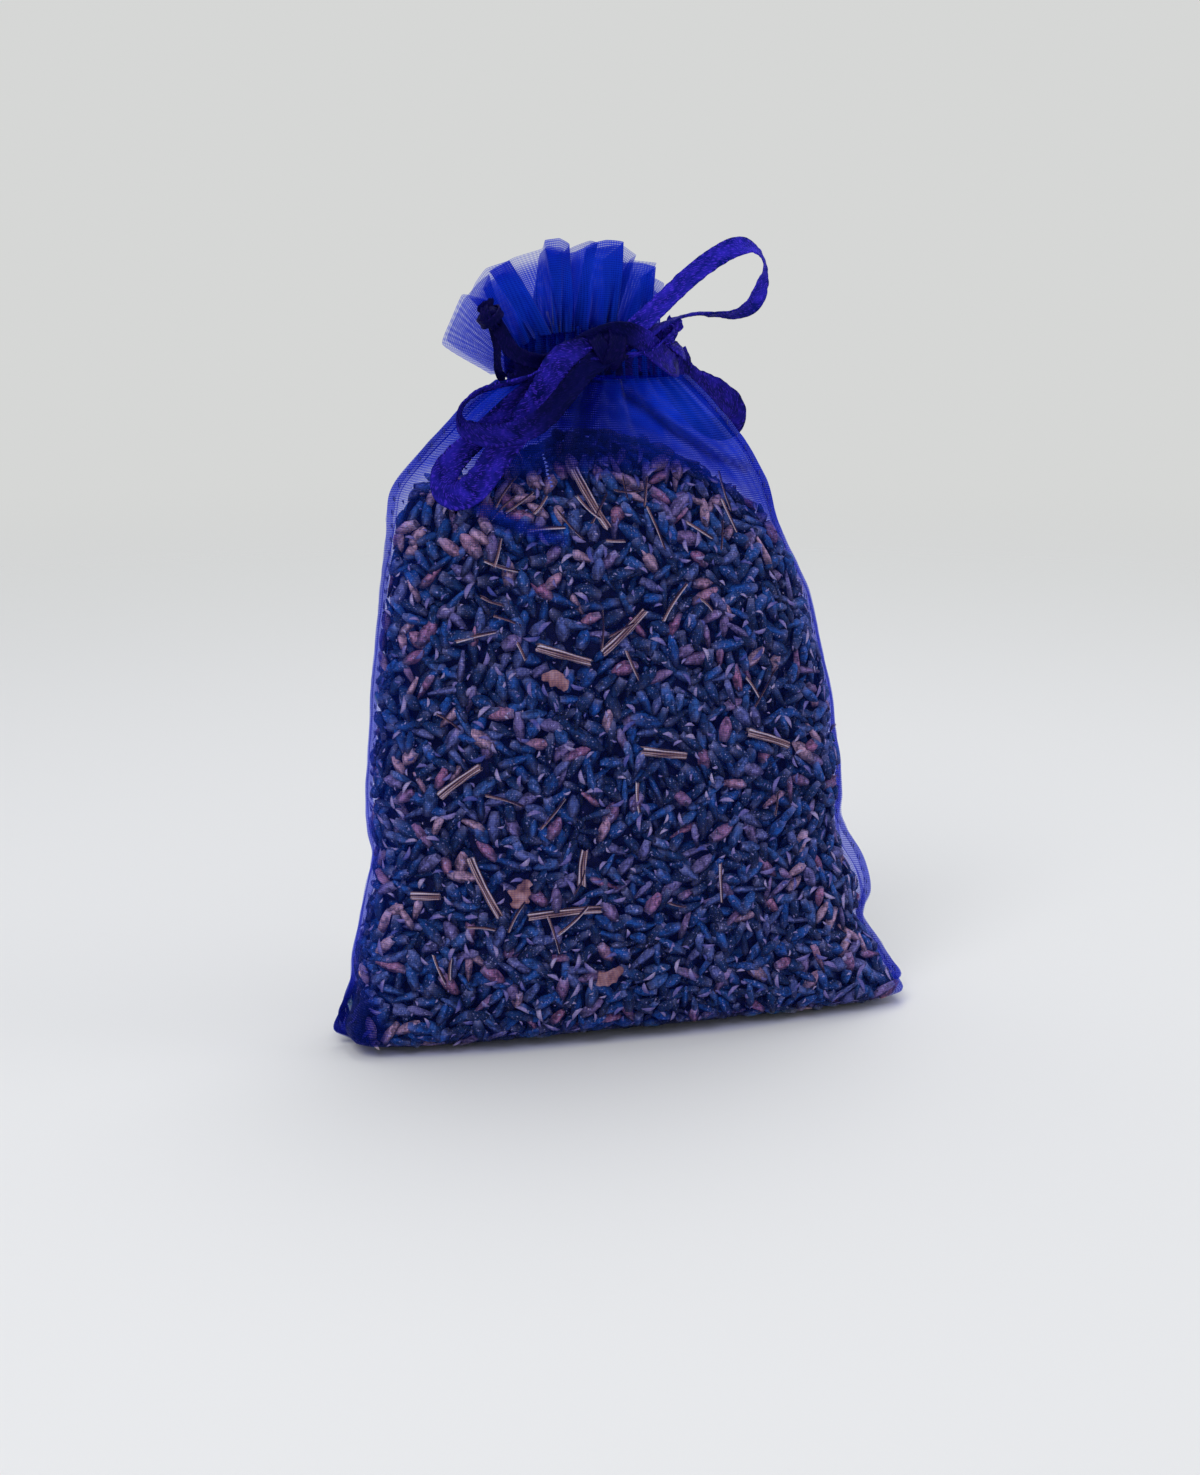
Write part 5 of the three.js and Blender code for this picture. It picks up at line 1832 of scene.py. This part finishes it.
def make_neck_stitches():
    """The row of crossed stitches on the front."""
    bm = bmesh.new()
    for count in range(NECK_STITCHES):
        t = count / (NECK_STITCHES - 1)
        x = NECK_STITCH_START[0] + NECK_STITCH_WAY[0] * t + 0.1 * math.sin(5 * count)
        z = NECK_STITCH_START[1] + NECK_STITCH_WAY[1] * t
        y = front_y(x, z) - NECK_STITCH_LIFT
        for turn in (NECK_STITCH_TURN, -NECK_STITCH_TURN):
            add_bead(bm, NECK_STITCH_RADII, (x, y, z + 0.12 * turn), Matrix.Rotation(turn, 3, "Y"))
    bmesh.ops.scale(bm, verts=bm.verts, vec=(MM, MM, MM))
    return finish_mesh(bm, "neck_stitch_row", material_of("thread"))


def make_pouch():
    front, back = make_panel(-1, "front"), make_panel(1, "back")
    seams = [*make_side_seam(-1, "left"), *make_side_seam(1, "right")]
    seams += [make_bottom_seam(), make_neck_stitches()]


# Neck


def frill_shade(point):
    """How shaded the frill is, down between its pleats."""
    near = math.exp(-(((point.x + 7) / 9.5) ** 2))
    upper, lower = 1 - smoothstep(point.z, 117, 130), 1 - smoothstep(point.z, 113.5, 119)
    return near * (0.3 * upper + 0.75 * lower)


def frill_bmesh(stops, facing):
    """The pleated frill on one side, from its gathered foot to its folded edge."""
    edge = smooth_route(stops, 7, ease=0.16)
    foot = smooth_route([(x, facing * y, z) for x, y, z in HEADER_FOOT], 24)
    last = len(edge) - 1
    lengths = lengths_along(edge[:, :3])

    def place(across, along):
        k = round(across * last)
        tip, share = Vector(edge[k, :3]), min(max(edge[k, 3], 0), 1)
        base = Vector(foot[round(share * (len(foot) - 1))])
        turn = 2 * math.pi * lengths[k] / FRILL_PLEAT
        gather = math.sin(turn)
        base.y += facing * FRILL_FOOT_DEPTH * gather * (1 if facing > 0 else (1 - along) ** 1.3)
        base.x += 0.35 * math.cos(turn)
        point = base.lerp(tip, along)
        fade = (1 - along) ** 1.2
        bulge = math.sin(math.pi * along)
        point.y += facing * (0.9 + 0.35 * gather * fade) * bulge
        wrinkle = noise.noise(Vector((0.22 * lengths[k], 1.3 * along, facing * 4)))
        point.y += 0.6 * wrinkle * bulge + 0.25 * wrinkle * along
        point.z += 0.18 * wrinkle * along
        deep = smoothstep(1 - along, 0.06, 0.28)
        layers = edge[k, 4] + (edge[k, 5] - edge[k, 4]) * deep + 3.0 * (1 - along) ** 3
        return point * MM, max(layers, 0.9)

    return cloth_grid(last, 26, place, (lengths[-1], FRILL_FLAT[1]), shade=frill_shade)


def casing_point(across, along):
    """(point in metres, layers of cloth) on the pleated casing: across round it, along from 0 to 1 up it."""
    turn = 2 * math.pi * across
    pleat = math.cos(CASING_PLEATS * turn + 0.8 * math.sin(3 * turn)) + 0.35 * math.cos(13 * turn)
    waist = math.sin(math.pi * along)
    depth = CASING_PLEAT_DEPTH * pleat * (0.8 + 0.2 * waist) - 0.3 - 0.5 * waist
    x = NECK_CENTRE_X + (CHANNEL_HALF_WIDTH - 0.6 + depth) * math.cos(turn)
    y = (CHANNEL_HALF_DEPTH - 0.5 + depth) * math.sin(turn)
    drop = CASING_END_DROP * smoothstep(abs(math.cos(turn)), 0.75, 1)
    return Vector((x, y, CASING_START + (CASING_HEIGHT - drop) * along)) * MM, CASING_LAYERS


def make_neck():
    bm = cloth_grid(12 * CASING_PLEATS, 12, casing_point, CASING_FLAT, CASING_JOIN_GAP, panel_shade)
    bmesh.ops.recalc_face_normals(bm, faces=bm.faces)
    casing = finish_mesh(bm, "gathered_casing", material_of("organza"))
    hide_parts("drawstring_channel")
    for stops, facing, side in ((FRONT_HEADER_STOPS, -1, "front"), (BACK_HEADER_STOPS, 1, "back")):
        frill = finish_mesh(frill_bmesh(stops, facing), f"{side}_frill", material_of("organza"))
        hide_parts(f"{side}_header")


# Ribbon


def casing_shade(point, along):
    """Painted shade on a drawstring: in front, standing for the casing's cloth over it and its shadow, darker
    at the left; at the back an even middling shade.
    """
    in_front = 1 - smoothstep(point.y, -4, 0)
    dark = 0.25 + 0.65 * (1 - smoothstep(point.x, -3.6, 0.4))
    return 0.45 + (dark - 0.45) * in_front


# Painted shade along the bow's loops, and how wide two of them spread, by the share along each loop
def front_shade(point, along):
    return 0.15 + 0.35 * smoothstep(along, 0.36, 0.5) + 0.42 * smoothstep(along, 0.7, 0.82)


def hanging_spread(along):
    return 1 + 0.36 * smoothstep(along, 0.3, 0.46) * (1 - smoothstep(along, 0.85, 1))


def hanging_shade(point, along):
    return 0.15 + 0.5 * (1 - smoothstep(along, 0.1, 0.3)) + 0.4 * smoothstep(along, 0.9, 0.97)


def upper_shade(point, along):
    return 0.5 * smoothstep(along, 0.55, 0.75)


def rear_spread(along):
    return 1 + 0.5 * smoothstep(along, 0.12, 0.3) * (1 - smoothstep(along, 0.5, 0.65))


def rear_shade(point, along):
    return 0.35


# The drawstrings: node, route and width factor
DRAWSTRINGS = [
    ("right_drawstring", RIGHT_DRAWSTRING_ROUTE, 1.2),
    ("left_drawstring", LEFT_DRAWSTRING_ROUTE, 0.95),
]

# The bow's loops: node, route, body, width factor, painted shade along the loop, and material
LOOPS = [
    ("left_front_loop", LEFT_FRONT_ROUTE, "left_front_bow_loop", 1.12, front_shade, "satin"),
    ("left_hanging_loop", LEFT_HANGING_ROUTE, "left_hanging_bow_loop", 1.12, hanging_shade, "satin"),
    ("right_upper_loop", RIGHT_UPPER_ROUTE, "right_upper_bow_loop", 1.0, upper_shade, "lit satin"),
    ("right_rear_loop", RIGHT_REAR_ROUTE, "right_rear_bow_loop", 1.0, rear_shade, "satin"),
]

# The loops that spread, and how much wider they are along their length
LOOP_SPREADS = {"left_hanging_loop": hanging_spread, "right_rear_loop": rear_spread}

# The tails' strands: node, route, body, width factor, way across and material
STRANDS = [
    ("left_tail_front_strand", LEFT_TAIL_FRONT_ROUTE, "left_tail", 0.75, (0, 1, 0), "dark satin"),
    ("left_tail_rear_strand", LEFT_TAIL_REAR_ROUTE, "left_tail", 0.5, (0, 1, 0), "dark satin"),
    ("right_tail_front_strand", RIGHT_TAIL_FRONT_ROUTE, "pouch", 0.8, (0, 0, 1), "satin"),
    ("right_tail_rear_strand", RIGHT_TAIL_REAR_ROUTE, "pouch", 0.8, (0, 0, 1), "satin"),
]

# The tails' end knots: side, place, way and length of the tip, body, seed and material
END_KNOTS = [
    ("left", LEFT_END_KNOT, LEFT_END_TIP_WAY, 1.3, "left_tail", 51, "dark satin"),
    ("right", RIGHT_END_KNOT, RIGHT_END_TIP_WAY, 2.4, "pouch", 57, "satin"),
]


def blend_from_root(obj, body, route):
    """Let a ribbon bend from the pouch at its root to its own body further along its route. Its root."""
    start, reach = (Vector(route[k][:3]) * MM for k in (0, 3))
    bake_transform(obj, "pouch", body, start=start, end=start.lerp(reach, 0.8))
    return start


def make_ribbons():
    width = scene_sizes()[1].width
    for seed, (node, route, scale) in enumerate(DRAWSTRINGS, 20):
        bm, _ = ribbon_bmesh(route, width * scale, seed, (0, 0, 1), closed=True, shade=casing_shade)
        band = finish_mesh(bm, f"{node}_ribbon", material_of("satin"))
        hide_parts(node)
    for seed, (node, route, body, scale, shade, finish) in enumerate(LOOPS, 1):
        bm, length = ribbon_bmesh(route, width * scale, seed, widen=LOOP_SPREADS.get(node), shade=shade)
        loop = finish_mesh(bm, f"{node}_ribbon", material_of(finish), body=None)
        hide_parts(node)
        blend_from_root(loop, body, route)


def blob_bmesh(place, radii, seed, folds):
    """A lump of crumpled ribbon."""
    bm = bmesh.new()
    cloth_map = bm.loops.layers.uv.new("cloth")
    for vert in bmesh.ops.create_icosphere(bm, subdivisions=4, radius=1)["verts"]:
        way = vert.co.normalized()
        crumple = 0.20 * noise.noise(way * 1.7 + Vector((seed, 0, 0)))
        crumple += 0.12 * abs(math.sin(folds * (way.x + 0.6 * way.z) + seed))
        crumple -= 0.10 * abs(noise.noise(way * 4.2 + Vector((0, seed, 0))))
        vert.co = Vector([r * w * (0.9 + crumple) for r, w in zip(radii, way)])
    for face in bm.faces:
        for loop in face.loops:
            offset = loop.vert.co
            loop[cloth_map].uv = (offset.z + 0.4 * offset.y, offset.x + 0.4 * offset.y)
    bmesh.ops.translate(bm, verts=bm.verts, vec=place)
    bmesh.ops.scale(bm, verts=bm.verts, vec=(MM, MM, MM))
    return bm


def wrap_bmesh(place, radii, tilt, turn, width, seed):
    """A turn of ribbon round a knot: an ellipse tilted about Y and turned about Z."""
    spin = Matrix.Rotation(turn, 3, "Z") @ Matrix.Rotation(tilt, 3, "Y")
    route = []
    for step in range(WRAP_STEPS):
        angle = 2 * math.pi * step / WRAP_STEPS
        point = Vector(place) + spin @ Vector((0, radii[0] * math.cos(angle), radii[1] * math.sin(angle)))
        route.append((*point, 0))
    bm, _ = ribbon_bmesh(route, width, seed, tuple(spin @ Vector((1, 0, 0))), closed=True)
    return bm


def tip_bmesh(place, way, reach, seed):
    """The flared, frayed tip that stands out of an end knot."""
    way = Vector(way).normalized()
    side = way.cross(Vector((0, 1, 0))).normalized()
    out = side.cross(way)

    def tip_place(across, along):
        s = 2 * across - 1
        flare = 0.45 + 0.55 * smoothstep(along, 0, 0.8)
        ragged = 0.45 * noise.noise(Vector((2.2 * s, 0, seed))) + 0.7 * (1 - abs(s + 0.3))
        distance = TIP_START + (reach + ragged) * along
        fold = 0.55 * abs(s) ** 1.5 * flare + 0.18 * math.cos(5 * s + seed)
        point = Vector(place) + way * distance + side * (s * TIP_HALF_WIDTH * flare) + out * fold
        return point * MM, 1.0

    bm = cloth_grid(16, 10, tip_place, (3, 3))
    thicken(bm, TIP_THICKNESS)
    return bm


def make_knots():
    width = scene_sizes()[1].width
    x, y, z = BOW_KNOT
    parts = [
        blob_bmesh((x, y, z), (3.3, 2.3, 2.7), 3, 3.0),
        wrap_bmesh((x + 0.3, y + 0.1, z), (2.35, 2.85), 0.25, 0.1, width, 41),
        wrap_bmesh((x - 0.9, y + 0.2, z - 0.2), (2.15, 2.7), -0.55, -0.25, width * 0.8, 42),
    ]
    knot = finish_mesh(join_bmeshes(parts), "wrapped_bow_knot", material_of("dark satin"))
    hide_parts("bow_knot")
    for side, place, way, reach, body, seed, finish in END_KNOTS:
        parts = [
            blob_bmesh(place, (1.75, 1.5, 1.8), seed, 2.6),
            wrap_bmesh(place, (1.6, 1.8), 0.9, 0.4, width * 0.5, seed + 1),
            wrap_bmesh(place, (1.55, 1.75), -0.5, -0.5, width * 0.45, seed + 2),
            tip_bmesh(place, way, reach, seed + 3),
        ]
        name = f"{side}_crimped_end_knot"
        knot = finish_mesh(join_bmeshes(parts), name, material_of(finish), body)
        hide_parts(f"{side}_end_knot")
    for seed, (node, route, body, scale, width_way, finish) in enumerate(STRANDS, 61):
        bm, _ = ribbon_bmesh(route, width * scale, seed, width_way)
        bends = body != "pouch"
        strand = finish_mesh(bm, f"{node}_ribbon", material_of(finish), None if bends else body)
        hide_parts(node)
        if bends:
            blend_from_root(strand, body, route)


class SACHET_OT_stage(bpy.types.Operator):
    """Make the floor, the lamps and the camera"""

    bl_idname = "sachet.stage"
    bl_label = "Stage"

    def execute(self, context):
        make_stage()
        return {"FINISHED"}


class SACHET_OT_lavender(bpy.types.Operator):
    """Make the heap of dried lavender buds"""

    bl_idname = "sachet.lavender"
    bl_label = "Lavender"

    def execute(self, context):
        make_lavender()
        return {"FINISHED"}


class SACHET_OT_stalks(bpy.types.Operator):
    """Make the woody stalks, twigs and leaf scraps"""

    bl_idname = "sachet.stalks"
    bl_label = "Stalks"

    def execute(self, context):
        make_stalks()
        return {"FINISHED"}


class SACHET_OT_pouch(bpy.types.Operator):
    """Make the organza panels with their seams and stitches"""

    bl_idname = "sachet.pouch"
    bl_label = "Pouch"

    def execute(self, context):
        make_pouch()
        return {"FINISHED"}


class SACHET_OT_neck(bpy.types.Operator):
    """Make the gathered casing and the frill above it"""

    bl_idname = "sachet.neck"
    bl_label = "Neck"

    def execute(self, context):
        make_neck()
        return {"FINISHED"}


class SACHET_OT_ribbons(bpy.types.Operator):
    """Make the drawstrings and the bow's loops"""

    bl_idname = "sachet.ribbons"
    bl_label = "Ribbons"

    def execute(self, context):
        make_ribbons()
        return {"FINISHED"}


class SACHET_OT_knots(bpy.types.Operator):
    """Make the bow's knot and the tails with their end knots"""

    bl_idname = "sachet.knots"
    bl_label = "Knots"

    def execute(self, context):
        make_knots()
        return {"FINISHED"}


class SACHET_PT_panel(bpy.types.Panel):
    """The sachet's sizes and steps"""

    bl_label = "Lavender Sachet"
    bl_idname = "SACHET_PT_panel"
    bl_space_type = "VIEW_3D"
    bl_region_type = "UI"
    bl_category = "Sachet"

    def draw(self, context):
        for group, names in (
            (context.scene.sachet_cloth, ("thread_pitch", "tint", "colour")),
            (context.scene.sachet_ribbon, ("width", "thickness", "dark", "bright")),
            (context.scene.sachet_lavender, ("bud_length", "bud_width", "spacing", "seed")),
        ):
            for name in names:
                self.layout.prop(group, name)
        for step in STEPS:
            self.layout.operator(step.bl_idname)


GROUPS = (SachetCloth, SachetRibbon, SachetLavender)
STEPS = (
    SACHET_OT_stage,
    SACHET_OT_lavender,
    SACHET_OT_stalks,
    SACHET_OT_pouch,
    SACHET_OT_neck,
    SACHET_OT_ribbons,
    SACHET_OT_knots,
)


def register():
    for item in (*GROUPS, *STEPS, SACHET_PT_panel):
        bpy.utils.register_class(item)
    bpy.types.Scene.sachet_cloth = PointerProperty(type=SachetCloth)
    bpy.types.Scene.sachet_ribbon = PointerProperty(type=SachetRibbon)
    bpy.types.Scene.sachet_lavender = PointerProperty(type=SachetLavender)


def unregister():
    del bpy.types.Scene.sachet_lavender
    del bpy.types.Scene.sachet_ribbon
    del bpy.types.Scene.sachet_cloth
    for item in reversed((*GROUPS, *STEPS, SACHET_PT_panel)):
        bpy.utils.unregister_class(item)


def main():
    register()
    for step in STEPS:
        group, name = step.bl_idname.split(".")
        getattr(getattr(bpy.ops, group), name)()


if __name__ == "__main__":
    main()
